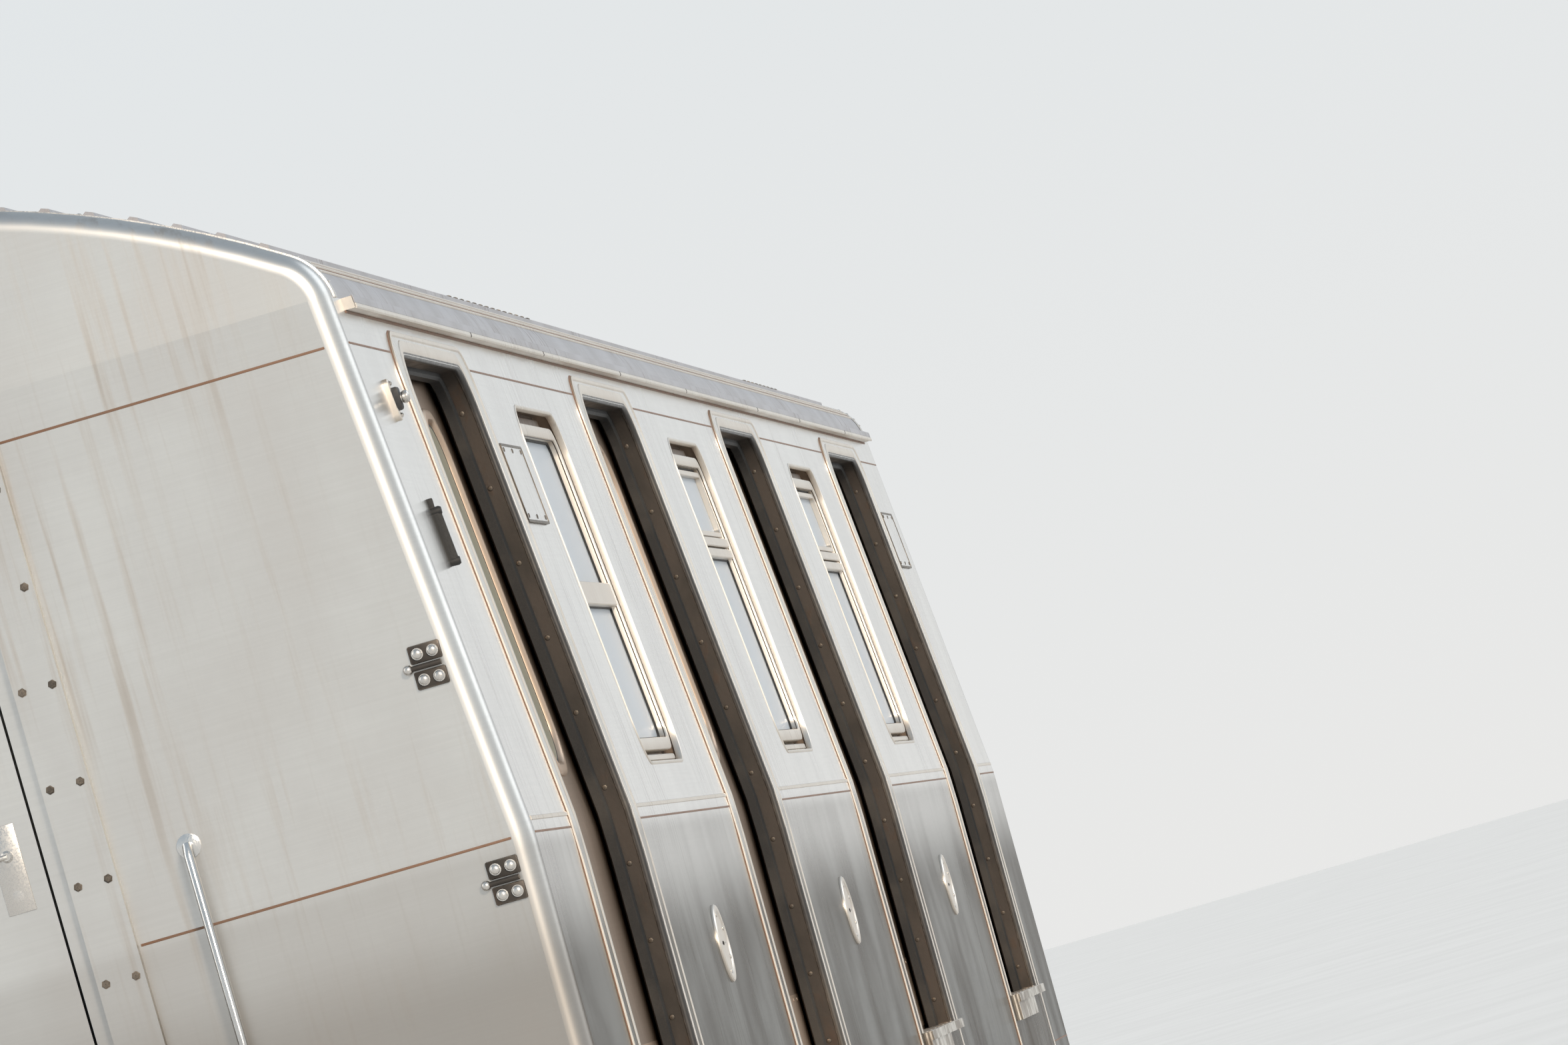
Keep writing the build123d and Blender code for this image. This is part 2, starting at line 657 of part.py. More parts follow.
def end_sill():
    """Buffer beam with the coupler's anchor, and the ribbed anti-climber outside the end wall."""
    half = skin_y(SKIRT_Z, SKIN)
    sill = block(BODY_END_X - END_SILL_LENGTH, SHEET_END_X, -half, half, SKIRT_Z, DECK_BOTTOM_Z)
    eye_half = COUPLER_EYE_HEIGHT / 2
    web_x1 = COUPLER_PIVOT_X - COUPLER_EYE_R - 4 * RUNNING_GAP
    anchor_x0 = COUPLER_PIVOT_X - ANCHOR_LENGTH
    anchor_x1 = COUPLER_PIVOT_X + COUPLER_EYE_R
    low_z = COUPLER_Z - eye_half - RUNNING_GAP - ANCHOR_PLATE
    sill += block(anchor_x0, anchor_x1, -ANCHOR_HALF_WIDTH, ANCHOR_HALF_WIDTH, low_z, SKIRT_Z)
    sill -= block(web_x1, anchor_x1 + 1, -ANCHOR_HALF_WIDTH - 1, ANCHOR_HALF_WIDTH + 1,
                  COUPLER_Z - eye_half - RUNNING_GAP, COUPLER_Z + eye_half + RUNNING_GAP)
    sill += post(COUPLER_PIVOT_X, 0, COUPLER_PIN_R, low_z, SKIRT_Z)
    plate_half = ANTICLIMBER_WIDTH / 2
    foot, top = ANTICLIMBER_FOOT_Z, ANTICLIMBER_TOP_Z
    beam = block(BODY_END_X, BODY_END_X + ANTICLIMBER_PROUD / 2, -plate_half, plate_half, foot, top)
    rib_x1 = BODY_END_X + ANTICLIMBER_PROUD
    pitch = (top - foot - ANTICLIMBER_RIB) / (ANTICLIMBER_RIBS - 1)
    for i in range(ANTICLIMBER_RIBS):
        z = foot + i * pitch
        beam += block(BODY_END_X, rib_x1, -plate_half, plate_half, z, z + ANTICLIMBER_RIB)
    return [sill, beam]


def coupler():
    """Half of a drawbar: an eye on the anchor's pin, a bar and a flange with a pin bore."""
    eye_half = COUPLER_EYE_HEIGHT / 2
    head_x0 = COUPLER_FACE_X - COUPLER_HEAD_LENGTH
    bar_half = COUPLER_BAR_WIDTH / 2
    head_half = COUPLER_HEAD_WIDTH / 2
    low_z = COUPLER_Z - COUPLER_HEAD_HEIGHT / 2
    high_z = COUPLER_Z + COUPLER_HEAD_HEIGHT / 2
    body = post(COUPLER_PIVOT_X, 0, COUPLER_EYE_R, COUPLER_Z - eye_half, COUPLER_Z + eye_half)
    body += block(COUPLER_PIVOT_X, head_x0, -bar_half, bar_half, COUPLER_Z - eye_half, COUPLER_Z + eye_half)
    body -= post(COUPLER_PIVOT_X, 0, COUPLER_PIN_R + RUNNING_FIT, low_z, high_z)
    head = block(head_x0, COUPLER_FACE_X, -head_half, head_half, low_z, high_z)
    body += chamfer(head.edges().filter_by(Axis.X), COUPLER_BAR_WIDTH / 2)
    bore_x = COUPLER_FACE_X - COUPLER_HEAD_LENGTH / 2
    body -= post(bore_x, 0, COUPLER_BORE_R, low_z - 1, high_z + 1)
    return [body]


# Floor and underframe

def floor_deck():
    """The floor, notched at each doorway for its threshold."""
    deck = band(DECK_BOTTOM_Z, FLOOR_Z, SKIN, BELT_HALF_WIDTH, -SHEET_END_X, SHEET_END_X)
    deck += mirror(deck, about=Plane.XZ)
    deck += block(-SHEET_END_X, SHEET_END_X, -WALL, WALL, DECK_BOTTOM_Z, FLOOR_Z)
    half = DOORWAY_WIDTH / 2
    inner = skin_y(FLOOR_Z, WALL)
    for x in DOOR_X:
        for y0, y1 in ((inner, BELT_HALF_WIDTH), (-BELT_HALF_WIDTH, -inner)):
            deck -= block(x - half, x + half, y0, y1, THRESHOLD_FOOT_Z, FLOOR_Z + 1)
    return [deck]


def centre_sill():
    half = BOGIE_X - BODY_BOLSTER_LENGTH / 2
    width = CENTRE_SILL_HALF_WIDTH
    return [block(-half, half, -width, width, SKIRT_Z, DECK_BOTTOM_Z)]


def body_bolster():
    """The beam over one bogie, with a jack pad under each end."""
    half_y = skin_y(SKIRT_Z, SKIN)
    half = BODY_BOLSTER_LENGTH / 2
    beam = block(BOGIE_X - half, BOGIE_X + half, -half_y, half_y, SKIRT_Z, DECK_BOTTOM_Z)
    half = JACK_PAD / 2
    for y in (JACK_PAD / 2 - half_y, half_y - JACK_PAD / 2):
        beam += block(BOGIE_X - half, BOGIE_X + half, y - half, y + half, SKIRT_Z - JACK_PAD_DEPTH, SKIRT_Z)
    return [beam]


def cross_bearers():
    half = CROSS_BEARER_WIDTH / 2
    half_y = skin_y(SKIRT_Z, SKIN)
    count = int((BOGIE_X - AXLE_X - WHEEL_R - FLANGE_DEPTH - half) // CROSS_BEARER_PITCH)
    pieces = []
    for i in range(-count, count + 1):
        x = i * CROSS_BEARER_PITCH
        pieces.append(block(x - half, x + half, CENTRE_SILL_HALF_WIDTH, half_y, SKIRT_Z, DECK_BOTTOM_Z))
    return pieces


# Equipment hung from the cross bearers between the bogies

EQUIPMENT_SETBACK = 126.0
EQUIPMENT_OUTER_Y = skin_y(SKIRT_Z, EQUIPMENT_SETBACK)
CASE_CHAMFER = 30.0
CASE_LID = 14.0
CASE_LID_INSET = 40.0

# side, middle as a number of bearer pitches, length in pitches, inner y, depth
EQUIPMENT_CASES = [
    (1, -4.0, 0.85, 620, 470),
    (1, -3.0, 0.75, 700, 520),
    (1, -1.5, 1.70, 620, 500),
    (1, 0.0, 0.85, 700, 430),
    (1, 1.5, 1.60, 620, 520),
    (1, 3.0, 0.75, 700, 400),
    (-1, -4.0, 0.75, 700, 430),
    (-1, -3.0, 0.85, 640, 520),
    (-1, -2.0, 0.70, 700, 420),
    (-1, -0.5, 1.70, 640, 500),
    (-1, 1.0, 0.80, 700, 450),
]


def equipment_cases():
    pieces = []
    for side, middle, pitches, inner_y, depth in EQUIPMENT_CASES:
        x = middle * CROSS_BEARER_PITCH
        half = pitches * CROSS_BEARER_PITCH / 2
        low = SKIRT_Z - depth
        outer_y = EQUIPMENT_OUTER_Y
        case = block(x - half, x + half, inner_y, outer_y, low, SKIRT_Z)
        case = chamfer(case.edges().filter_by(Axis.X).group_by(Axis.Z)[0], CASE_CHAMFER)
        lid_half = half - CASE_LID_INSET
        lid_z0, lid_z1 = low + 2 * CASE_LID_INSET, SKIRT_Z - CASE_LID_INSET
        case += block(x - lid_half, x + lid_half, outer_y, outer_y + CASE_LID, lid_z0, lid_z1)
        pieces.append(case if side > 0 else mirror(case, about=Plane.XZ))
    return pieces


GRID_SPAN = (2.0, 4.2)
GRID_INNER_Y = 700.0
GRID_DEPTH = 380.0
GRID_RAIL = 40.0
GRID_BARS = 15
GRID_BAR = 24.0


def resistor_grids():
    """An open frame full of upright resistor banks."""
    x0, x1 = [n * CROSS_BEARER_PITCH for n in GRID_SPAN]
    y0, y1 = -EQUIPMENT_OUTER_Y, -GRID_INNER_Y
    low = SKIRT_Z - GRID_DEPTH
    frame = block(x0, x1, y0, y1, low, SKIRT_Z)
    frame -= block(x0 + GRID_RAIL, x1 - GRID_RAIL, y0 - 1, y1 + 1, low + GRID_RAIL, SKIRT_Z - GRID_RAIL)
    pitch = (x1 - x0 - 2 * GRID_RAIL) / (GRID_BARS + 1)
    for i in range(1, GRID_BARS + 1):
        x = x0 + GRID_RAIL + i * pitch
        frame += block(x - GRID_BAR / 2, x + GRID_BAR / 2, y0 + GRID_BAR, y1 - GRID_BAR,
                       low + GRID_RAIL - 1, SKIRT_Z - GRID_RAIL + 1)
    return [frame]


TANK_R = 190.0
TANK_OVERHANG = 250.0
TANK_DROP = 20.0
STRAP = 50.0

# number of the bearer over each tank's first strap, counted from the middle
AIR_TANKS = [-4, 1]


def air_tanks():
    pieces = []
    z = SKIRT_Z - TANK_R - TANK_DROP
    for number in AIR_TANKS:
        first = number * CROSS_BEARER_PITCH
        second = first + CROSS_BEARER_PITCH
        tank = cylinder_x(0, z, TANK_R, first - TANK_OVERHANG, second + TANK_OVERHANG)
        for x in (first, second):
            tank += block(x - STRAP / 2, x + STRAP / 2, -TANK_R, TANK_R, z, SKIRT_Z)
        pieces.append(tank)
    return pieces


# Interior that shows through the glass

SEAT_FROM_DOORWAY = 120.0
POLE_R = 17.0

# distance from the wall, height above the floor
SEAT_OUTLINE = [
    (0, 330),
    (90, 300),
    (90, 0),
    (360, 0),
    (360, 330),
    (440, 350),
    (460, 430),
    (90, 410),
    (50, 860),
    (20, 860),
]


def seats():
    """Long benches with their backs to the side walls."""
    pieces = []
    back = skin_y(FLOOR_Z, WALL)
    points = [(back - across, FLOOR_Z + up) for across, up in SEAT_OUTLINE]
    profile = Plane.YZ * make_face(Polyline(*points, close=True))
    for x0, x1 in panel_spans(DOORWAY_WIDTH / 2 + SEAT_FROM_DOORWAY):
        x0 = max(x0, SEAT_FROM_DOORWAY / 2 - SHEET_END_X)
        x1 = min(x1, SHEET_END_X - SEAT_FROM_DOORWAY / 2)
        bench = Pos(x0, 0, 0) * extrude(profile, amount=x1 - x0, dir=(1, 0, 0))
        pieces += [bench, mirror(bench, about=Plane.XZ)]
    return pieces


def grab_poles():
    return [post(x, 0, POLE_R, FLOOR_Z, EAVES_Z) for x in DOOR_X]


# Bogies, each built about its own centre and then moved

def wheelset():
    """One axle with its two flanged wheels, turned about its own axis."""
    inner = WHEEL_BACK_TO_BACK / 2
    outer = inner + TYRE_WIDTH
    end = JOURNAL_Y + AXLE_BOX_WIDTH / 2 - AXLE_BOX_COVER
    # distance from the middle of the axle, radius
    half = [
        (inner, AXLE_R),
        (inner, WHEEL_R + FLANGE_DEPTH),
        (inner + FLANGE_WIDTH, WHEEL_R),
        (outer, WHEEL_R),
        (outer, JOURNAL_R),
        (end, JOURNAL_R),
        (end, 0),
    ]
    other_half = [(-across, radius) for across, radius in reversed(half)]
    face = Plane.YZ * make_face(Polyline(*half, *other_half, close=True))
    return [Pos(0, 0, WHEEL_R) * revolve(face, axis=Axis.Y)]


def motor_lug(x0, x1, y):
    """A square bar along the bogie at the transoms' height."""
    half = MOTOR_LUG / 2
    return block(x0, x1, y - half, y + half, TRANSOM_Z - MOTOR_LUG, TRANSOM_Z + MOTOR_LUG)


def bogie_frame():
    """Two side frames with raised ends, tied by two box transoms with the motors' lugs."""
    high0, high1 = FRAME_HIGH_Z, FRAME_HIGH_Z + FRAME_HIGH_DEPTH
    low0, low1 = FRAME_LOW_Z, FRAME_LOW_Z + FRAME_LOW_DEPTH
    end = AXLE_X + FRAME_END_FROM_AXLE
    bend_in, bend_out = FRAME_BENDS
    # place along the bogie, height, from the middle of the upper edge round to the lower
    half = [
        (bend_in, low1),
        (bend_out, high1),
        (end, high1),
        (end, high0),
        (bend_out + FRAME_BEND_SHIFT, high0),
        (bend_in + FRAME_BEND_SHIFT, low0),
    ]
    other_half = [(-x, z) for x, z in reversed(half)]
    side = Plane.XZ * make_face(Polyline(*half, *other_half, close=True))
    side = Pos(0, SIDE_FRAME_Y1, 0) * extrude(side, amount=SIDE_FRAME_WIDTH, dir=(0, -1, 0))
    frame = side + mirror(side, about=Plane.XZ)
    z0, z1 = TRANSOM_Z - TRANSOM_HALF, TRANSOM_Z + TRANSOM_HALF
    for way in (-1, 1):
        x = way * TRANSOM_X
        frame += block(x - TRANSOM_HALF, x + TRANSOM_HALF, -SIDE_FRAME_Y0, SIDE_FRAME_Y0, z0, z1)
        x0, x1 = sorted((x, way * MOTOR_LUG_X))
        for y in (-MOTOR_LUG_Y, MOTOR_LUG_Y):
            frame += motor_lug(x0, x1, y)
    return [frame]


def bogie_bolster():
    """The beam on the air springs that carries the body on a centre plate and two side bearers."""
    half = BOLSTER_WIDTH / 2
    beam = block(-half, half, -SIDE_FRAME_Y1, SIDE_FRAME_Y1, BOLSTER_TOP_Z - BOLSTER_DEPTH, BOLSTER_TOP_Z)
    beam += post(0, 0, CENTRE_PLATE_R, BOLSTER_TOP_Z, SKIRT_Z - SEAT_GAP)
    bearer = half / 2
    for y in (-half - JOURNAL_Y / 2, half + JOURNAL_Y / 2):
        beam += block(-bearer, bearer, y - bearer, y + bearer, BOLSTER_TOP_Z, SKIRT_Z - SEAT_GAP)
    return [beam]


def bogie_springs():
    """Air springs under the bolster, and a pair of coil springs beside each axle box."""
    pieces = []
    coil = extrude(RegularPolygon(COIL_R, COIL_SIDES), amount=FRAME_HIGH_Z - COIL_FOOT_Z)
    foot, top = FRAME_LOW_Z + FRAME_LOW_DEPTH, BOLSTER_TOP_Z - BOLSTER_DEPTH
    for y in (-JOURNAL_Y, JOURNAL_Y):
        pieces.append(post(0, y, AIR_SPRING_R, foot, top))
        for axle in (-AXLE_X, AXLE_X):
            for x in (axle - COIL_FROM_AXLE, axle + COIL_FROM_AXLE):
                pieces.append(Pos(x, y, COIL_FOOT_Z) * coil)
    return pieces


AXLE_BOX_HALF = 128.0
AXLE_BOX_WING = 46.0
AXLE_BOX_STOP_HALF = 70.0


def axle_boxes():
    """Axle boxes with a wing on each side under the coil springs and a stop under the frame."""
    wing_x = COIL_FROM_AXLE + COIL_R
    shoulder = AXLE_BOX_HALF - AXLE_BOX_STOP_HALF
    # place from the axle, height, from the middle of the upper edge round to the lower
    half = [
        (AXLE_BOX_STOP_HALF, FRAME_HIGH_Z),
        (AXLE_BOX_STOP_HALF, WHEEL_R + AXLE_BOX_HALF),
        (AXLE_BOX_HALF, WHEEL_R + AXLE_BOX_HALF - shoulder),
        (AXLE_BOX_HALF, COIL_FOOT_Z),
        (wing_x, COIL_FOOT_Z),
        (wing_x, COIL_FOOT_Z - AXLE_BOX_WING),
        (AXLE_BOX_HALF, COIL_FOOT_Z - 2 * AXLE_BOX_WING),
        (AXLE_BOX_STOP_HALF, WHEEL_R - AXLE_BOX_HALF),
    ]
    other_half = [(-x, z) for x, z in reversed(half)]
    outline = Plane.XZ * make_face(Polyline(*half, *other_half, close=True))
    outer = JOURNAL_Y + AXLE_BOX_WIDTH / 2
    inner = outer - AXLE_BOX_WIDTH
    box = Pos(0, outer, 0) * extrude(outline, amount=AXLE_BOX_WIDTH, dir=(0, -1, 0))
    bore_end = outer - AXLE_BOX_COVER + SEAT_GAP
    box -= cylinder_y(0, WHEEL_R, JOURNAL_R + RUNNING_FIT, inner - 1, bore_end)
    pieces = []
    for x in (-AXLE_X, AXLE_X):
        placed = Pos(x, 0, 0) * box
        pieces += [placed, mirror(placed, about=Plane.XZ)]
    return pieces


def ring_points(x, z, radius, start, count):
    """Corners 45 degrees apart on a circle in the side view, from a starting angle."""
    angles = [radians(start + 45 * i) for i in range(count)]
    return [(x + radius * cos(angle), z + radius * sin(angle)) for angle in angles]


GEAR_CASE_R = 240.0
PINION_CASE_R = 150.0


def traction_motors():
    """A motor beside each axle with the gear case round the axle, hung on the transoms."""
    motor_x = AXLE_X - MOTOR_FROM_AXLE
    motor_z = WHEEL_R + MOTOR_RISE
    case = extrude(RegularPolygon(MOTOR_R, MOTOR_SIDES), amount=MOTOR_HALF_LENGTH, both=True)
    motor = Pos(motor_x, 0, motor_z) * Rot(90, 0, 0) * case
    outline = ring_points(AXLE_X, WHEEL_R, GEAR_CASE_R, -90, 5)
    outline += ring_points(motor_x, motor_z, PINION_CASE_R, 90, 5)
    gear_y0, gear_y1 = GEAR_CASE_Y
    depth = gear_y1 - gear_y0
    cover = Plane.XZ * make_face(Polyline(*outline, close=True))
    motor += Pos(0, gear_y1, 0) * extrude(cover, amount=depth, dir=(0, -1, 0))
    neck = MOTOR_NECK / 2
    motor += block(motor_x - neck, motor_x + neck, MOTOR_HALF_LENGTH, gear_y0, motor_z - neck, motor_z + neck)
    hole = make_face(Polyline(*ring_points(AXLE_X, WHEEL_R, AXLE_R + 4 * RUNNING_GAP, 0, 8), close=True))
    motor -= Pos(0, gear_y1 + 1, 0) * extrude(Plane.XZ * hole, amount=depth + 2, dir=(0, -1, 0))
    for y in (-MOTOR_LUG_Y, MOTOR_LUG_Y):
        motor += motor_lug(MOTOR_LUG_X + SEAT_GAP, motor_x, y)
    return [motor, Rot(0, 0, 180) * motor]


def brake_units():
    """Block brakes on the inner side of each wheel, hung from the side frames."""
    face_r = WHEEL_R + BRAKE_GAP
    y0 = WHEEL_BACK_TO_BACK / 2 + FLANGE_WIDTH + BRAKE_GAP
    y1 = WHEEL_BACK_TO_BACK / 2 + TYRE_WIDTH - BRAKE_GAP
    ring = cylinder_y(AXLE_X, WHEEL_R, face_r + BRAKE_SHOE, y0, y1)
    ring -= cylinder_y(AXLE_X, WHEEL_R, face_r, y0 - 1, y1 + 1)
    low, high = WHEEL_R - BRAKE_HALF_HEIGHT, WHEEL_R + BRAKE_HALF_HEIGHT
    unit = ring & block(AXLE_X - face_r - BRAKE_SHOE, AXLE_X - face_r * 0.9, y0, y1, low, high)
    back = AXLE_X - face_r - BRAKE_SHOE / 2
    low, high = WHEEL_R - BRAKE_SHOE, WHEEL_R + 2 * BRAKE_SHOE
    unit += block(back - 2 * BRAKE_SHOE, back, y0, SIDE_FRAME_Y0, low, high)
    front = [unit, mirror(unit, about=Plane.XZ)]
    return [*front, *at_rear(front)]


SHOE_BEAM_HALF = 420.0
SHOE_BEAM_WIDTH = 70.0
SHOE_BEAM_DEPTH = 100.0
SHOE_BEAM_DROP = 40.0
SHOE_ARM = 120.0
SHOE_REACH = 330.0
SHOE_THICKNESS = 35.0


def shoe_gear():
    """A beam on each side frame that carries the current collector shoe on an arm."""
    low = FRAME_LOW_Z - SHOE_BEAM_DROP
    foot = low - SHOE_ARM
    y = SIDE_FRAME_Y1
    near, far = y + SHOE_BEAM_WIDTH, y + SHOE_REACH
    half = SHOE_ARM / 2
    beam = block(-SHOE_BEAM_HALF, SHOE_BEAM_HALF, y, near, low, low + SHOE_BEAM_DEPTH)
    beam += block(-half, half, y + SHOE_BEAM_WIDTH / 2, y + SHOE_REACH / 2, foot, low)
    beam += block(-SHOE_ARM, SHOE_ARM, near, far, foot, foot + SHOE_THICKNESS)
    return [beam, mirror(beam, about=Plane.XZ)]


# Small fittings on the body

PLATE_WIDTH = 530.0
PLATE_HEIGHT = 200.0
PLATE_Z = 2787.0
PLATE_FROM_DOOR = 1196.0
FITTING = 6.0
BRACKET_HEIGHTS = [1830.0, 2338.0]
BRACKET_PLATE = 42.0
BRACKET_BAR = 16.0
BRACKET_WIDTH = 74.0
BRACKET_PROUD = 12.0


def number_plates():
    """Blank plates beyond the first and the last door."""
    pieces = []
    z0, z1 = PLATE_Z - PLATE_HEIGHT / 2, PLATE_Z + PLATE_HEIGHT / 2
    for x in (DOOR_X[0] + PLATE_FROM_DOOR, DOOR_X[-1] + PLATE_FROM_DOOR):
        half = PLATE_WIDTH / 2
        pieces.append(band(z0, z1, -FITTING, 0, x - half, x + half))
    return pieces


def gate_brackets():
    """Pairs of plates with a bar between them, where the gates between cars hook on."""
    pieces = []
    for z in BRACKET_HEIGHTS:
        y1 = skin_y(z) - END_CORNER_R
        y0 = y1 - BRACKET_WIDTH
        half = BRACKET_PLATE + BRACKET_BAR / 2
        bracket = block(BODY_END_X, BODY_END_X + BRACKET_PROUD, y0, y1, z - half, z + half)
        bracket += block(BODY_END_X, BODY_END_X + 2 * BRACKET_PROUD, y0 - BRACKET_BAR, y1,
                         z - BRACKET_BAR / 2, z + BRACKET_BAR / 2)
        pieces += [bracket, mirror(bracket, about=Plane.XZ)]
    return pieces


def move(pieces, x):
    return [Pos(x, 0, 0) * piece for piece in pieces]


def main():
    os.makedirs("parts", exist_ok=True)
    write("side_panels_left", side_panels())
    write("side_panels_right", on_right(side_panels()))
    write("number_plates", on_right(number_plates()))
    for name, pieces in (
        ("wall_linings", wall_linings()),
        ("door_frames", door_frames()),
        ("cant_rails", cant_rail()),
        ("window_frames", window_frames()),
        ("window_panes", window_panes()),
        ("thresholds", thresholds()),
        ("cross_bearers", cross_bearers()),
    ):
        write(name, [*pieces, *on_right(pieces)])
    for word, way in (("rearward", -1), ("forward", 1)):
        leaves = door_leaves(way)
        panes = leaf_panes(way)
        write("door_leaves_left_" + word, leaves)
        write("door_leaves_right_" + word, on_right(leaves))
        write("door_panes_left_" + word, panes)
        write("door_panes_right_" + word, on_right(panes))
    for name, pieces in (
        ("end_wall", end_wall()),
        ("end_door", end_door()),
        ("end_door_pane", end_door_pane()),
        ("coupler", coupler()),
    ):
        write(name + "_front", pieces)
        write(name + "_rear", at_rear(pieces))
    for name, pieces in (
        ("end_sills", end_sill()),
        ("roof_end_caps", roof_end_cap()),
        ("gate_brackets", gate_brackets()),
        ("body_bolsters", body_bolster()),
    ):
        write(name, [*pieces, *at_rear(pieces)])
    for name, pieces in (
        ("roof_shell", roof_shell()),
        ("roof_hatches", roof_hatches()),
        ("ceiling", ceiling()),
        ("ceiling_lights", ceiling_lights()),
        ("floor_deck", floor_deck()),
        ("centre_sill", centre_sill()),
        ("equipment_cases", equipment_cases()),
        ("resistor_grids", resistor_grids()),
        ("air_tanks", air_tanks()),
        ("seats", seats()),
        ("grab_poles", grab_poles()),
    ):
        write(name, pieces)
    bogie_pieces = (
        ("bogie_frame_", bogie_frame()),
        ("bogie_bolster_", bogie_bolster()),
        ("bogie_springs_", bogie_springs()),
        ("axle_boxes_", axle_boxes()),
        ("traction_motors_", traction_motors()),
        ("bogie_gear_", [*brake_units(), *shoe_gear()]),
    )
    for end, x in (("rear", -BOGIE_X), ("front", BOGIE_X)):
        for name, pieces in bogie_pieces:
            write(name + end, move(pieces, x))
    axle_places = [-BOGIE_X - AXLE_X, -BOGIE_X + AXLE_X, BOGIE_X - AXLE_X, BOGIE_X + AXLE_X]
    for number, x in enumerate(axle_places, start=1):
        write("wheelset_" + str(number), move(wheelset(), x))


main()
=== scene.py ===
# Looks for the sixty-foot metro car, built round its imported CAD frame. Metres, Z up, X along
# the car. The photographed side is at -Y and the end nearest the camera is at -X.
# Heights here are above the rail head; make() lifts every piece by LIFT. Sections of trim are
# written in millimetres, as text that mm() turns into pairs of metres.

import json
from itertools import product
from math import asin, atan, ceil, cos, pi, radians, sin, tan

import bmesh
import bpy
from mathutils import Matrix, Vector

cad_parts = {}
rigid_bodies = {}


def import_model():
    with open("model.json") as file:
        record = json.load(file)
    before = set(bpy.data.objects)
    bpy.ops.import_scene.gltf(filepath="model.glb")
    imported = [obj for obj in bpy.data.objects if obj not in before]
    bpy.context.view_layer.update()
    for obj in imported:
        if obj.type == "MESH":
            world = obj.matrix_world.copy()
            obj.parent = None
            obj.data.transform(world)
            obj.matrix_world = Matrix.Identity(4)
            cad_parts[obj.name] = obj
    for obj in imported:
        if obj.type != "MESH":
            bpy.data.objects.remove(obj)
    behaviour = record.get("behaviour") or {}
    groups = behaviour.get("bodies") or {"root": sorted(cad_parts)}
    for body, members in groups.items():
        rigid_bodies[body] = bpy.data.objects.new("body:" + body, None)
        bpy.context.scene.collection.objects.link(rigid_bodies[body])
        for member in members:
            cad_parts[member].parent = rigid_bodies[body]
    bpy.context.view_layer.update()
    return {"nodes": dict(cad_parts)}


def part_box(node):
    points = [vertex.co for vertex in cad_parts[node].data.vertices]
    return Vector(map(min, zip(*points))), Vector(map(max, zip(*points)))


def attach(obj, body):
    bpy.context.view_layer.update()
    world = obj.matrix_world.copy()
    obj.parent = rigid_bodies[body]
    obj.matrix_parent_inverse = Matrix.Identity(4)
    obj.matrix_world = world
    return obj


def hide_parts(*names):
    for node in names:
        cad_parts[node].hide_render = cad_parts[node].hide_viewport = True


for thing in list(bpy.data.objects):
    bpy.data.objects.remove(thing)

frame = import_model()

# The same sizes as in the part's source
LIFT = 0.028
BODY_END, SHEET_END = 8.69, 8.627
LAST_DOOR = 1.832  # from the body's end to the middle of the last doorway
DOOR_X = [(i - 1.5) * (2 * BODY_END - 2 * LAST_DOOR) / 3 for i in range(4)]
WINDOW_X = [(a + b) / 2 for a, b in zip(DOOR_X, DOOR_X[1:])]
SIDES = {"left": 1, "right": -1}
ENDS = {"rear": -1, "front": 1}
PAIR = (-1, 1)

SKIRT, FLOOR, BELT, EAVES = 0.9, 1.157, 1.917, 3.19
DOOR_TOP, PORTAL_TOP, CROWN_TOP = 3.08, 3.132, 3.686
BELT_HALF, LOW_LEAN, HIGH_LEAN, BELT_R = 1.467, 0.011, 0.084, 0.6
DOOR_HALF, PORTAL_HALF, DOOR_R, PORTAL_R = 0.735, 0.89, 0.12, 0.13
WALL, LEAF_INSET, LEAF = 0.165, 0.09, 0.035
CORNER_R, SHOULDER_R, ROOF_CAP = 0.048, 0.15, 0.13
WINDOW_W, WINDOW_FOOT, WINDOW_TOP, WINDOW_R = 1.13, 2.055, 3.004, 0.11
SASH_BAR, SIGN_BAR, VENT_BAR = 0.062, 2.483, 2.655
BOGIE_X, AXLE, WHEEL_R = 6.795, 1.0415, 0.432
JOURNAL_Y, SIDE_FRAME_OUT, COIL_X = 1.0, 1.065, 0.205
BEARER_PITCH = (DOOR_X[1] - DOOR_X[0]) / 4
CASE_OUT = 1.3298
END_FACE = SHEET_END + 0.01 + 0.04


def half_width(z, inset=0.0):
    """Half width of the car at a height above the rail, less an inset, soft at the belt."""
    soft = BELT_R * tan((atan(LOW_LEAN) + atan(HIGH_LEAN)) / 2)
    t = z - BELT
    if t <= -soft:
        y = BELT_HALF + LOW_LEAN * t
    elif t >= soft:
        y = BELT_HALF - HIGH_LEAN * t
    else:
        turn = (LOW_LEAN + HIGH_LEAN) / (4 * soft)
        y = BELT_HALF - LOW_LEAN * soft + LOW_LEAN * (t + soft) - turn * (t + soft) ** 2
    return y - inset


def wall(side, x, z, inset=0.0):
    """The point of a side wall at x and z, inset from its outer face."""
    return Vector((x, side * half_width(z, inset), z))


def mm(rows):
    """Rows of metres from text in millimetres; a list is in metres already."""
    if isinstance(rows, str):
        rows = [[float(n) / 1000 for n in row.split()] for row in rows.split(",")]
    return rows


# Mesh building

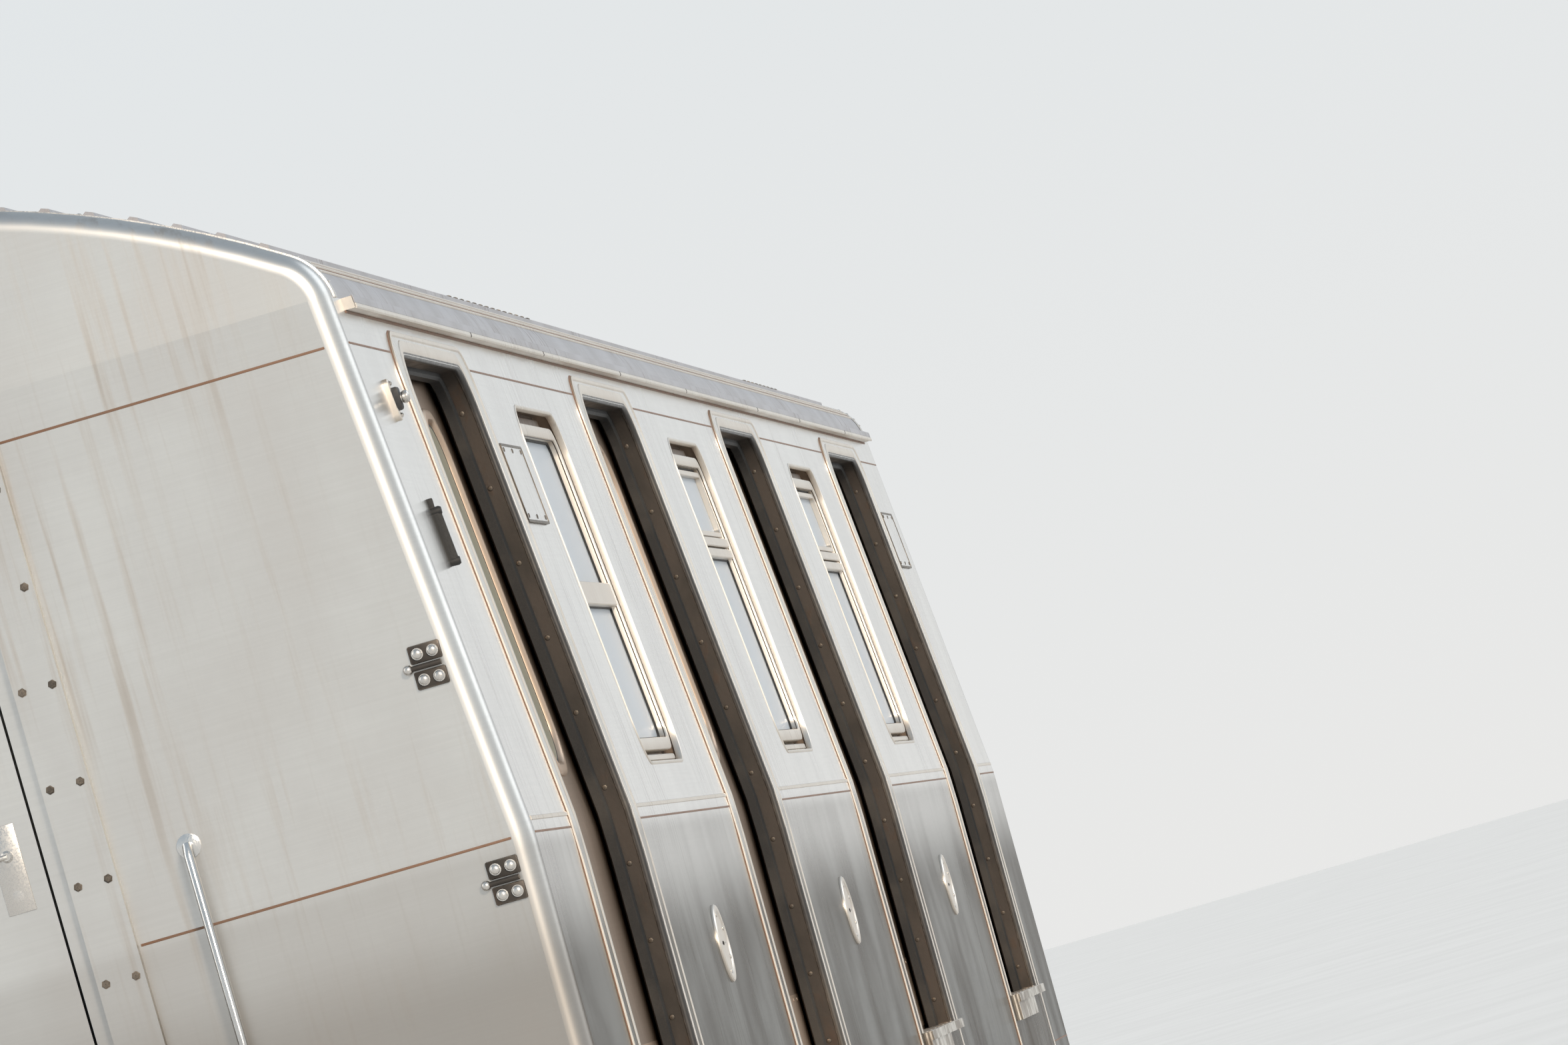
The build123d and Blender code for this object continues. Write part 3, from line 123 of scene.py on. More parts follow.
class Shape:
    """Gathers vertices and faces for one piece."""

    def __init__(self):
        self.points = []
        self.faces = []

    def add(self, points, faces):
        base = len(self.points)
        self.points += [Vector(p) for p in points]
        self.faces += [[base + i for i in face] for face in faces]

    def sweep(self, rings, closed=False):
        """A skin through rings of equal count, capped unless it closes on itself."""
        n, count = len(rings[0]), len(rings)
        faces = []
        for i in range(count if closed else count - 1):
            a, b = i * n, (i + 1) % count * n
            faces += [[a + j, a + (j + 1) % n, b + (j + 1) % n, b + j] for j in range(n)]
        if not closed:
            last = (count - 1) * n
            faces += [list(range(n)), [last + j for j in reversed(range(n))]]
        self.add([p for ring in rings for p in ring], faces)

    def lathe(self, profile, axis, centre, steps=24):
        """Turns (radius, along) pairs about an axis through a centre."""
        axis, centre = Vector(axis).normalized(), Vector(centre)
        side = axis.orthogonal().normalized()
        other = axis.cross(side)
        profile = mm(profile)
        points, faces = [], []
        n = len(profile)
        for s in range(steps):
            turn = 2 * pi * s / steps
            spoke = side * cos(turn) + other * sin(turn)
            points += [centre + spoke * r + axis * t for r, t in profile]
            a, b = s * n, (s + 1) % steps * n
            faces += [[a + j, b + j, b + j + 1, a + j + 1] for j in range(n - 1)]
        self.add(points, faces)

    def slab(self, x0, x1, y0, y1, z0, z1, ease=0.003):
        """A block with eased edges; each pair of limits may come in either order."""
        limits = [sorted(pair) for pair in ((x0, x1), (y0, y1), (z0, z1))]
        mesh = bmesh.new()
        bmesh.ops.create_cube(mesh, size=1)
        for v in mesh.verts:
            v.co = [(a + b) / 2 + c * (b - a) for c, (a, b) in zip(v.co, limits)]
        bmesh.ops.bevel(mesh, geom=mesh.edges[:], offset=ease, segments=2, affect="EDGES",
                        profile=0.5)
        mesh.verts.index_update()
        self.add([v.co for v in mesh.verts], [[v.index for v in f.verts] for f in mesh.faces])
        mesh.free()

    def tube(self, points, radius, sides=10):
        """A round bar along a line of points."""
        points = [Vector(p) for p in points]
        line = [points[0], *points, points[-1]]
        angles = [2 * pi * j / sides for j in range(sides)]
        rings, up = [], None
        for before, p, after in zip(line, points, line[2:]):
            along = (after - before).normalized()
            if up is None:
                up = along.orthogonal().normalized()
            up = (up - along * up.dot(along)).normalized()
            other = along.cross(up)
            rings.append([p + (up * cos(a) + other * sin(a)) * radius for a in angles])
        self.sweep(rings)

    def stud(self, place, normal, radius, height, sides=10):
        """A domed head."""
        r, h = radius, height
        profile = [(r, -0.001), (r, h * 0.35), (r * 0.82, h * 0.8), (r * 0.45, h), (0.0, h)]
        self.lathe(profile, normal, place, sides)

    def bolt(self, place, normal, size, height):
        """A hexagon head on a washer, with the thread's end standing out of it."""
        r, h = size, height
        self.lathe([(r * 1.35, -0.001), (r * 1.35, h * 0.2), (r, h * 0.2), (r, h * 0.85),
                    (r * 0.86, h), (r * 0.5, h), (r * 0.45, h * 1.25), (0, h * 1.25)],
                   normal, place, 6)

    def make(self, name, body, finish, slot, sharp=32, replaced=""):
        """Turns what was gathered into a piece that rides on a body."""
        mesh = bpy.data.meshes.new(name)
        mesh.from_pydata([p + Vector((0, 0, LIFT)) for p in self.points], [], self.faces)
        work = bmesh.new()
        work.from_mesh(mesh)
        bmesh.ops.remove_doubles(work, verts=work.verts, dist=0.00002)
        bmesh.ops.dissolve_degenerate(work, edges=work.edges, dist=0.00002)
        bmesh.ops.recalc_face_normals(work, faces=work.faces)
        work.to_mesh(mesh)
        work.free()
        mesh.shade_smooth()
        mesh.set_sharp_from_angle(angle=radians(sharp))
        mesh.materials.append(finish)
        piece = bpy.data.objects.new(name, mesh)
        bpy.context.scene.collection.objects.link(piece)
        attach(piece, body)
        if replaced:
            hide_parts(replaced)


def shapes(count):
    return [Shape() for _ in range(count)]


def dress(drawn, body, word, *rows):
    """Makes a piece of each shape; a row is its name, finish, slot (not used) and what else make()
    takes.
    """
    for shape, (name, *rest) in zip(drawn, rows, strict=True):
        shape.make(name + word, body, *rest)


def rounded(x, z0, z1, width, radius, steps=8, square_foot=False):
    """A rounded outline as (x, z, outward x, outward z), from the lower right round."""
    x0, x1 = x - width / 2, x + width / 2
    path = []
    for cx, cz, start in ((x1, z0, 270), (x1, z1, 0), (x0, z1, 90), (x0, z0, 180)):
        sx, sz = (-1 if cx > x else 1), (1 if cz == z0 else -1)
        if square_foot and cz == z0:
            path.append((cx, cz, -sx, 0))
            continue
        for i in range(steps + 1):
            a = radians(start + 90 * i / steps)
            px, pz = cx + sx * radius + radius * cos(a), cz + sz * radius + radius * sin(a)
            path.append((px, pz, cos(a), sin(a)))
    return path


def dense(path, step=0.12):
    """The same open path with more points up the lower wall, so that it follows the belt."""
    out = []
    for a, b in zip(path, path[1:]):
        out.append(a)
        parts = ceil(abs(b[1] - a[1]) / step) if min(a[1], b[1]) < BELT + 0.1 else 1
        out += [tuple(p + (q - p) * i / parts for p, q in zip(a, b)) for i in range(1, parts)]
    return [*out, path[-1]]


def wall_sweep(shape, side, path, profile, closed=False, deep=0.0, filled=False):
    """Sweeps (offset, inset) pairs along a path of the wall; filled closes the inner edge."""
    rings = [[wall(side, x + o * nx, z + o * nz, d + deep) for o, d in mm(profile)]
             for x, z, nx, nz in path]
    shape.sweep(rings, closed)
    if filled:
        shape.add([ring[-1] for ring in rings], [list(range(len(rings)))])


def wall_strip(shape, side, x0, x1, z0, z1, outer, inner, rows=1):
    """A strip of the wall between two heights and two insets."""
    heights = [z0 + (z1 - z0) * i / rows for i in range(rows + 1)]
    line = [(z, outer) for z in heights] + [(z, inner) for z in reversed(heights)]
    shape.sweep([[wall(side, x, z, d) for z, d in line] for x in sorted((x0, x1))])


def along_wall(x0, x1, z):
    return [(x0, z, 0, 1), (x1, z, 0, 1)]


def panel_spans(edge):
    """Stretches of side wall between the doorways, each edge a distance from a door's middle."""
    stops = [x + way * edge for x in DOOR_X for way in PAIR]
    stops = [-SHEET_END, *stops, SHEET_END]
    return list(zip(stops[::2], stops[1::2]))


# Finishes

class Finish:
    """A material's node tree, with short calls for the nodes that it is made of."""

    def __init__(self, name, metal=0.0, rough=0.5, **sockets):
        self.material = bpy.data.materials.new(name)
        self.material.use_nodes = True
        self.tree = self.material.node_tree
        self.shader = self.tree.nodes["Principled BSDF"]
        for socket, value in {"Metallic": metal, "Roughness": rough, **sockets}.items():
            self.shader.inputs[socket.replace("_", " ")].default_value = value
        self.place = self.tree.nodes.new("ShaderNodeTexCoord").outputs["Object"]
        self.relief = None

    def node(self, kind, inputs, **settings):
        node = self.tree.nodes.new("ShaderNode" + kind)
        for name, value in settings.items():
            setattr(node, name, value)
        for key, value in inputs.items():
            if isinstance(value, bpy.types.NodeSocket):
                self.tree.links.new(value, node.inputs[key])
            else:
                node.inputs[key].default_value = value
        return node

    def noise(self, scale, stretch=(1, 1, 1), detail=3.0, rough=0.55):
        spread = self.node("Mapping", {"Vector": self.place, "Scale": stretch})
        return self.node("TexNoise", {"Vector": spread.outputs[0], "Scale": scale,
                                      "Detail": detail, "Roughness": rough}).outputs["Fac"]

    def height(self):
        """Height above the rail head."""
        z = self.node("SeparateXYZ", {0: self.place}).outputs["Z"]
        return self.node("Math", {0: z, 1: LIFT}, operation="SUBTRACT").outputs[0]

    def span(self, value, low, high, to_low=0.0, to_high=1.0):
        """Maps a value from one range to another, smoothly and within its ends."""
        return self.node("MapRange", {0: value, 1: low, 2: high, 3: to_low, 4: to_high},
                         interpolation_type="SMOOTHSTEP").outputs[0]

    def times(self, a, b):
        return self.node("Math", {0: a, 1: b}, operation="MULTIPLY").outputs[0]

    def plus(self, a, b):
        return self.node("Math", {0: a, 1: b}, operation="ADD").outputs[0]

    def mix(self, share, a, b):
        a, b = ((*c, 1.0) if isinstance(c, tuple) else c for c in (a, b))
        return self.node("Mix", {0: share, 6: a, 7: b}, data_type="RGBA").outputs[2]

    def worn(self, radius=0.006):
        """High along outer edges, from the difference between the bevelled and true normals."""
        soft = self.node("Bevel", {"Radius": radius}, samples=4).outputs[0]
        true = self.node("NewGeometry", {}).outputs["Normal"]
        match = self.node("VectorMath", {0: soft, 1: true}, operation="DOT_PRODUCT")
        return self.span(match.outputs["Value"], 0.98, 0.8)

    def drive(self, socket, value):
        self.tree.links.new(value, self.shader.inputs[socket])

    def colour(self, value):
        self.drive("Base Color", value)

    def rough(self, value):
        self.drive("Roughness", value)

    def bump(self, value, distance, strength=1.0):
        inputs = {"Height": value, "Distance": distance, "Strength": strength}
        if self.relief:
            inputs["Normal"] = self.relief
        self.relief = self.node("Bump", inputs).outputs[0]
        self.drive("Normal", self.relief)


BROWN_GRIME, DARK_GRIME = (0.17, 0.135, 0.105), (0.16, 0.12, 0.1)
ALONG, EVEN = (2, 2, 150), (60, 60, 60)  # brushed along the car, or the same each way


def steel(name, bright, dull, rough, wave=0.0016, lower=None, brush=ALONG, dirt=0.5,
          glance=0.8, grime=BROWN_GRIME):
    """Brushed sheet: grain along the car, cloudy sheen, streaks of dirt, a painted ground
    reflection darkening the wall below the belt.
    """
    f = Finish(name, metal=1.0, Specular_Tint=(glance, glance, glance, 1))
    grain = f.noise(1.0, brush, 2.0, 0.6)
    cloud = f.noise(2.3, (1, 1, 0.8), 4.0)
    base = f.mix(f.span(cloud, 0.3, 0.7), bright, dull)
    base = f.mix(f.span(grain, 0.25, 0.75, 0.0, 0.08), base, tuple(c * 0.45 for c in bright))
    # painted reflection: below the belt the colour turns to lower and the reflection tint darkens,
    # standing in for the ground reflected there
    if lower:
        z = f.height()
        below = f.plus(f.span(z, BELT + 0.02, BELT - 0.04, 0.0, 0.35),
                       f.span(z, BELT - 0.08, BELT - 0.34, 0.0, 0.65))
        base = f.mix(f.times(below, 0.72), base, lower)
        painted_reflection_tint = f.mix(f.span(cloud, 0.3, 0.7), (0.36, 0.36, 0.35), (0.22, 0.21, 0.2))
        f.drive("Specular Tint", f.mix(below, (glance, glance, glance), painted_reflection_tint))
        splash = f.times(f.span(z, SKIRT + 0.55, SKIRT),
                         f.span(f.noise(1.6, (3, 3, 0.9), 4.0), 0.3, 0.62))
        base = f.mix(f.times(splash, 0.55), base, grime)
    streak = f.span(f.noise(1.0, (26, 26, 1.1), 3.0, 0.6), 0.5, 0.72)
    patch = f.span(f.noise(0.9, (1.4, 1.4, 0.9), 2.0), 0.4, 0.66)
    marks = f.times(f.times(streak, patch), dirt)
    f.colour(f.mix(marks, base, grime))
    gloss = f.plus(f.span(grain, 0.2, 0.8, rough - 0.008, rough + 0.008), f.times(marks, 0.35))
    f.rough(f.plus(gloss, f.span(cloud, 0.35, 0.75, 0.0, 0.07)))
    f.bump(f.noise(1.0, (1.1, 1.1, 2.4), 1.0), wave, 0.3)
    return f.material


def painted(name, colour, worn_colour, rough, fleck, relief, dust, metal=0.0):
    """Paint or cast metal: a fine orange-peel or grain, worn edges and settled dust."""
    f = Finish(name, metal=metal)
    cloud = f.noise(3.0, (1, 1, 1), 5.0)
    grain = f.noise(fleck, (1, 1, 1), 2.0)
    base = f.mix(f.span(cloud, 0.35, 0.7, 0.0, 0.45), colour, tuple(c * 0.62 for c in colour))
    base = f.mix(f.times(f.span(cloud, 0.48, 0.68), dust), base, (0.3, 0.26, 0.21))
    edge = f.times(f.worn(0.005), f.span(f.noise(38.0), 0.38, 0.62))
    f.colour(f.mix(f.times(edge, 0.7), base, worn_colour))
    f.rough(f.span(grain, 0.2, 0.8, rough - 0.08, rough + 0.1))
    f.bump(grain, relief, 0.6)
    return f.material


def jamb_finish():
    """Weathered brown steel, blotched with rust and worn pale along its edges."""
    f = Finish("weathered_jamb", metal=0.55)
    cloud = f.noise(5.0, (1, 1, 0.6), 5.0)
    base = f.mix(f.span(cloud, 0.34, 0.68), (0.08, 0.067, 0.057), (0.042, 0.037, 0.032))
    rust = f.span(f.noise(22.0, (1, 1, 0.5), 4.0), 0.56, 0.7)
    base = f.mix(f.times(rust, 0.4), base, (0.085, 0.052, 0.034))
    edge = f.times(f.worn(0.004), f.span(f.noise(30.0), 0.35, 0.65))
    f.colour(f.mix(f.times(edge, 0.8), base, (0.42, 0.34, 0.26)))
    f.rough(f.span(cloud, 0.3, 0.7, 0.38, 0.6))
    f.bump(f.noise(110.0), 0.0004, 0.6)
    f.bump(rust, 0.0004, 0.5)
    return f.material


def wheel_finish():
    """Forged steel with a film of brown brake dust, thicker in places."""
    f = Finish("wheel_steel", metal=0.6)
    cloud = f.noise(7.0, (1, 1, 1), 5.0)
    base = f.mix(f.span(cloud, 0.3, 0.7), (0.115, 0.085, 0.065), (0.05, 0.04, 0.034))
    oil = f.span(f.noise(2.2, (1, 1, 1), 2.0), 0.5, 0.62)
    f.colour(f.mix(f.times(oil, 0.6), base, (0.02, 0.017, 0.015)))
    f.rough(f.plus(f.span(cloud, 0.3, 0.7, 0.45, 0.68), f.times(oil, -0.18)))
    f.bump(f.noise(90.0), 0.0006, 0.7)
    return f.material


def tread_wear():
    """The running face, polished by the rail."""
    f = Finish("polished_tread", metal=1.0)
    grain = f.noise(1.0, (8, 500, 8), 2.0)
    f.colour(f.mix(f.span(grain, 0.3, 0.7), (0.56, 0.54, 0.51), (0.33, 0.31, 0.29)))
    f.rough(f.span(grain, 0.2, 0.8, 0.22, 0.38))
    f.bump(grain, 0.0001, 0.4)
    return f.material


def glass_finish(name, tint_and_sky_reflection, clear):
    """Film-covered glass, glossy face on and hazy at a glance; its colour is a real tint for the
    door panes and a painted sky reflection for the windows.
    """
    f = Finish(name, metal=0.05, IOR=1.45, Transmission_Weight=clear)
    film = f.span(f.noise(2.2, (2, 2, 1), 4.0), 0.35, 0.75)
    f.colour(f.mix(f.times(film, 0.45), tint_and_sky_reflection, tuple(min(1.0, c * 1.16) for c in tint_and_sky_reflection)))
    glance = f.node("LayerWeight", {"Blend": 0.5}).outputs["Facing"]
    f.rough(f.plus(f.span(glance, 0.7, 0.9, 0.03, 0.3), f.times(film, 0.05)))
    f.drive("Specular IOR Level", f.span(glance, 0.7, 0.9, 0.5, 0.01))
    return f.material


def lamp_finish():
    """A ribbed, glowing diffuser."""
    f = Finish("lamp_diffuser", rough=0.35, Emission_Strength=0.9)
    rib = f.noise(1.0, (2, 120, 2), 1.0)
    glow = f.mix(f.span(rib, 0.3, 0.7), (0.92, 0.9, 0.82), (0.75, 0.73, 0.66))
    f.colour(glow)
    f.drive("Emission Color", glow)
    return f.material


def floor_finish():
    """Dark flooring with pale flecks."""
    f = Finish("cabin_floor", rough=0.5)
    fleck = f.node("TexVoronoi", {"Vector": f.place, "Scale": 90.0}).outputs["Distance"]
    f.colour(f.mix(f.span(fleck, 0.25, 0.45), (0.2, 0.19, 0.18), (0.055, 0.055, 0.058)))
    f.rough(f.span(f.noise(6.0), 0.3, 0.7, 0.35, 0.6))
    f.bump(fleck, 0.0003, 0.4)
    return f.material


def tread_finish():
    """Ribbed aluminium door sill, bright where it is worn."""
    f = Finish("threshold_tread", metal=0.9)
    rib = f.node("TexWave", {"Vector": f.place, "Scale": 26.0}, bands_direction="Y")
    wear = f.span(f.noise(9.0, (1, 1, 1), 4.0), 0.35, 0.65)
    f.colour(f.mix(wear, (0.62, 0.58, 0.51), (0.27, 0.235, 0.2)))
    f.rough(f.span(wear, 0.0, 1.0, 0.3, 0.52))
    f.bump(rib.outputs["Fac"], 0.0012, 0.9)
    return f.material


# name, bright and dull patches, roughness, depth of the sheet's waves; lower is the colour of a
# painted ground reflection below the belt
SIDE = steel("brushed_side_steel", (0.9, 0.88, 0.84), (0.8, 0.78, 0.75), 0.2,
             lower=(0.36, 0.345, 0.32), dirt=0.28, glance=0.95)
PORTAL = steel("door_surround_steel", (0.88, 0.85, 0.79), (0.74, 0.71, 0.66), 0.24, 0.001,
               lower=(0.36, 0.335, 0.31), glance=0.9)
# painted reflection: the stainless leaves' tan, darker colour stands in for the warm reflections
# on them; the grime colour is dirt
LEAF_STEEL = steel("door_leaf_steel_painted_reflection", (0.41, 0.3, 0.22), (0.31, 0.235, 0.18), 0.35, 0.001,
                   grime=(0.16, 0.1, 0.07))
# painted light: the cream tint of this bright metal trim stands in for warm sunlight on it
TRIM = steel("trim_with_painted_sunlight", (0.86, 0.79, 0.7), (0.76, 0.69, 0.61), 0.34, 0, None, EVEN, 0.25)
# painted light: the peach colour stands in for warm sunlight reflected on the leaves' bright
# bezels and kick plates
PEACH = steel("leaf_trim_with_painted_sunlight", (0.72, 0.54, 0.4), (0.58, 0.43, 0.32), 0.32, 0, None, EVEN, 0.3)
ROOF = steel("roof_steel", (0.56, 0.54, 0.55), (0.46, 0.44, 0.44), 0.36, 0.001,
             grime=DARK_GRIME)
END = steel("end_wall_steel", (0.7, 0.69, 0.66), (0.58, 0.57, 0.55), 0.32,
            lower=(0.3, 0.27, 0.24))
TANK = steel("tank_steel", (0.3, 0.29, 0.27), (0.2, 0.19, 0.18), 0.45, 0, None, (40, 40, 40),
             grime=(0.1, 0.08, 0.065))

# name, colour, worn edges, roughness, scale and depth of the grain, dust, metal
SEALANT = painted("seam_sealant", (0.2, 0.105, 0.06), (0.24, 0.13, 0.08), 0.55, 60, 0, 0.1)
SHADED = painted("shaded_edge_steel", (0.075, 0.072, 0.07), (0.42, 0.39, 0.36),
                 0.38, 60, 0.0001, 0.2, 0.6)
RECESS = painted("window_recess", (0.2, 0.145, 0.105), (0.32, 0.25, 0.19),
                 0.5, 60, 0.0001, 0.1)
GUM = painted("dark_gasket", (0.035, 0.028, 0.024), (0.09, 0.07, 0.06), 0.5, 60, 0.0001, 0.1)
BLACK = painted("black_coating", (0.02, 0.02, 0.022), (0.1, 0.09, 0.08),
                0.55, 140, 0.0003, 0.15)
RUBBER = painted("black_rubber", (0.014, 0.014, 0.014), (0.05, 0.045, 0.04),
                 0.62, 300, 0.0002, 0.1)
BRIGHT = painted("fitting_steel", (0.66, 0.63, 0.59), (0.82, 0.79, 0.74),
                 0.3, 220, 0.0001, 0.15, 1.0)
DULL = painted("dull_fastener", (0.1, 0.085, 0.07), (0.4, 0.33, 0.26),
               0.45, 160, 0.0002, 0.2, 0.7)
FRAME = painted("underframe_paint", (0.03, 0.028, 0.027), (0.14, 0.1, 0.075),
                0.62, 90, 0.0006, 0.5)
CASE = painted("equipment_paint", (0.135, 0.135, 0.13), (0.32, 0.3, 0.27),
               0.5, 110, 0.0004, 0.45)
CAST = painted("cast_steel", (0.055, 0.048, 0.043), (0.24, 0.19, 0.15),
               0.6, 60, 0.001, 0.5, 0.35)
PIPE = painted("pipe_steel", (0.2, 0.185, 0.165), (0.45, 0.38, 0.3),
               0.42, 120, 0.0002, 0.4, 0.8)
PANEL = painted("interior_laminate", (0.52, 0.51, 0.47), (0.62, 0.6, 0.56),
                0.45, 200, 0.0001, 0.05)
SEAT = painted("moulded_seat", (0.1, 0.22, 0.4), (0.25, 0.36, 0.5),
               0.38, 160, 0.0002, 0.08)
POLE = painted("polished_pole", (0.7, 0.69, 0.67), (0.8, 0.79, 0.77),
               0.2, 240, 0.00005, 0.05, 1.0)
RESISTOR = painted("heat_blued_strip", (0.16, 0.11, 0.085), (0.34, 0.22, 0.15),
                   0.45, 80, 0.0002, 0.1, 0.9)
JAMB, WHEEL, TREAD = jamb_finish(), wheel_finish(), tread_wear()
# painted reflection: the windows' pale grey-blue stands in for the sky reflected in the panes
GLASS = glass_finish("window_glass_painted_sky", (0.6, 0.65, 0.7), 0.3)
LEAF_GLASS = glass_finish("leaf_glass", (0.34, 0.33, 0.25), 0.4)
LAMP, CABIN_FLOOR, SILL = lamp_finish(), floor_finish(), tread_finish()

# the longest beginning that fits a node's name gives its finish
NODE_FINISH = {beginning: finish for finish, beginnings in (
    (SIDE, "side_panels number_plates"), (PORTAL, "door_frames"), (LEAF_STEEL, "door_leaves"),
    (TRIM, "cant_rails window_frames"), (ROOF, "roof_shell roof_end_caps"), (TANK, "air_tanks"),
    (END, "end_wall end_door"), (JAMB, "gate_brackets"), (SILL, "thresholds"), (SEAT, "seats"),
    (GLASS, "window_panes end_door_pane"), (LEAF_GLASS, "door_panes"), (BLACK, "roof_hatches"),
    (PANEL, "wall_linings ceiling"), (LAMP, "ceiling_lights"), (CABIN_FLOOR, "floor_deck"),
    (FRAME, "cross_bearers end_sills body_bolsters centre_sill"), (POLE, "grab_poles"),
    (CASE, "equipment_cases resistor_grids"), (RUBBER, "bogie_springs"), (WHEEL, "wheelset"),
    (CAST, "coupler bogie_frame bogie_bolster axle_boxes traction_motors bogie_gear"),
) for beginning in beginnings.split()}
for name, node in frame["nodes"].items():
    key = max((k for k in NODE_FINISH if name.startswith(k)), key=len)
    node.data.materials.clear()
    node.data.materials.append(NODE_FINISH[key])


# Seams, beads and rub lines of the side walls

# each section is (offset from the line, inset from the wall) pairs
BEAD = "-3 1, -2 -1.5, 2 -1.5, 3 1"
RUB = "-6 1, -4 -2.2, 4 -2.2, 6 1"
PORTAL_BEAD = "0 1, 0.5 -3, 4.5 -1.5, 5.5 1"
PORTAL_ROLL = "2 0, 1.5 -6, -3 -7.2, -8 -6.8, -12 -3.5"
DOOR_EDGE = "36 -3, 34 -6, 22 -7.2, 10 -6.6, 4 -4, 6 0"
DOOR_TURN = "6 -5.2, 0 -3.5, -4.5 1, -6 6, -5 11.5, -2 13, 0 13"
LINER = "0 11, -2.5 11, -2.5 48, 0 48"
SEAL = "0 46, -12 46, -19 52, -19 74, -8 78, 0 78"
RIVET_PITCH, RIVET_INSET = 0.193, 0.037


def wall_seams(side):
    """Sealant between the sheets and round each door frame, and a rub line over the belt."""
    beads, rubs, rolls = shapes(3)
    for x in DOOR_X:
        arch = rounded(x, SKIRT, PORTAL_TOP, 2 * PORTAL_HALF, PORTAL_R, 10, True)[1:-1]
        right, left = ((x + way * PORTAL_HALF, SKIRT + 0.002, way, 0) for way in (1, -1))
        path = dense([right, *arch, left])
        wall_sweep(beads, side, path, PORTAL_BEAD)
        wall_sweep(rolls, side, path, PORTAL_ROLL)
    for x0, x1 in panel_spans(PORTAL_HALF + 0.006):
        for z in (SKIRT + 0.05, BELT, DOOR_TOP):
            wall_sweep(beads, side, along_wall(x0, x1, z), BEAD)
        wall_sweep(rubs, side, along_wall(x0, x1, BELT + 0.032), RUB)
    return beads, rubs, rolls


def doorway_trim(side):
    """A rolled edge round each doorway, a riveted jamb liner and a rubber seal behind it."""
    *trim, rivets = shapes(5)
    for x in DOOR_X:
        path = dense(rounded(x, FLOOR + 0.001, DOOR_TOP, 2 * DOOR_HALF, DOOR_R, 10, True))
        for shape, profile in zip(trim, (DOOR_EDGE, DOOR_TURN, LINER, SEAL)):
            wall_sweep(shape, side, path, profile)
        for way, i in product(PAIR, range(10)):
            z = FLOOR + 0.08 + i * RIVET_PITCH
            place = wall(side, x + way * (DOOR_HALF - 0.0025), z, RIVET_INSET)
            rivets.stud(place, (-way, 0, 0), 0.007, 0.0035, 8)
    return *trim, rivets


for word, side in SIDES.items():
    dress([*wall_seams(side), *doorway_trim(side)], "carbody", "_" + word,
          ("seam_beads", SEALANT, "door_frame_steel"),
          ("belt_rub_lines", TRIM, "stainless"),
          ("door_frame_rolls", TRIM, "door_frame_steel"),
          ("doorway_edges", TRIM, "door_frame_steel"),
          ("doorway_turns", SHADED, "door_frame_steel"),
          ("jamb_liners", JAMB, "door_frame_steel"),
          ("doorway_seals", RUBBER, "spring_rubber"),
          ("jamb_rivets", DULL, "fitting_steel"))


# Gutters: a rolled lip in lengths, its upper part painted darker as shade, joined by covers, over
# a dark drip line

GUTTER_FACE = "-30 -25, -30.5 -27.5, -27 -30, -19.5 -30, -17.5 -28.8, -17.5 -25"
# painted shade: the lip's upper part is swept apart and given the darker roof finish to stand in
# for the shade on top of the roll
GUTTER_SHADED_TOP = "-17 -25, -17 -28.7, -3 -28.7, 1.5 -27.5, 2.5 -23, 1 -22, 0 -25"
DRIP = "-34.5 1, -34 -2, -31 -2.6, -28.5 -2.6, -28.5 1"
GUTTER_JOINTS = [-5.855, -3.959, -1.7, 0.51, 3.218, 5.0, 7.1]
GUTTER_END = BODY_END - 0.25


def gutter_trim(side):
    *trim, joints = shapes(4)
    for shape, profile in zip(trim, (GUTTER_FACE, GUTTER_SHADED_TOP, DRIP)):
        wall_sweep(shape, side, along_wall(-GUTTER_END, GUTTER_END, EAVES), profile)
    for x in GUTTER_JOINTS:
        cover = along_wall(x - 0.006, x + 0.006, EAVES)
        wall_sweep(joints, side, cover, GUTTER_FACE, deep=-0.0008)
    return *trim, joints


for word, side in SIDES.items():
    dress(gutter_trim(side), "carbody", "_" + word,
          ("gutter_lips", TRIM, "stainless"), ("gutter_backs", ROOF, "stainless"),
          ("gutter_drips", SEALANT, "door_frame_steel"),
          ("gutter_joints", GUM, "fitting_steel"))


# Passenger windows: a rounded sash that stands free in a brown reveal, in place of the CAD one

REVEAL_AND_SASH = (
    "11.5 15, 9.5 15, 9.5 50, -33 50, -34.5 19, -36.2 15, -40 13, -63 13, -66.5 14.6, "
    "-68 18, -68 37.5, -53.5 37.5, -53.5 47, -53.5 164.5, 11.5 164.5")
WINDOW_LIP = "7 0.8, 6 -1.6, 2 -2.8, -2 -1.2, -3.5 3, -3.5 14, -0.5 14.5, 0.5 1"
GASKET_SEAT = "-67 17.5, -68.8 18.2, -68.8 20.5, -67 21.2"
GASKET = "-67.5 32, -71.5 32.6, -73.5 35, -74 37.8, -67.5 37.8"
REVEAL = "9.3 15.2, 7 15.2, 7 47.8, -32.5 47.8, -32.5 49.8, 9.3 49.8"
VENT_FRAME = "-79 37.6, -79 24, -80.5 22.2, -93.5 22.2, -95 24, -95 37.6"


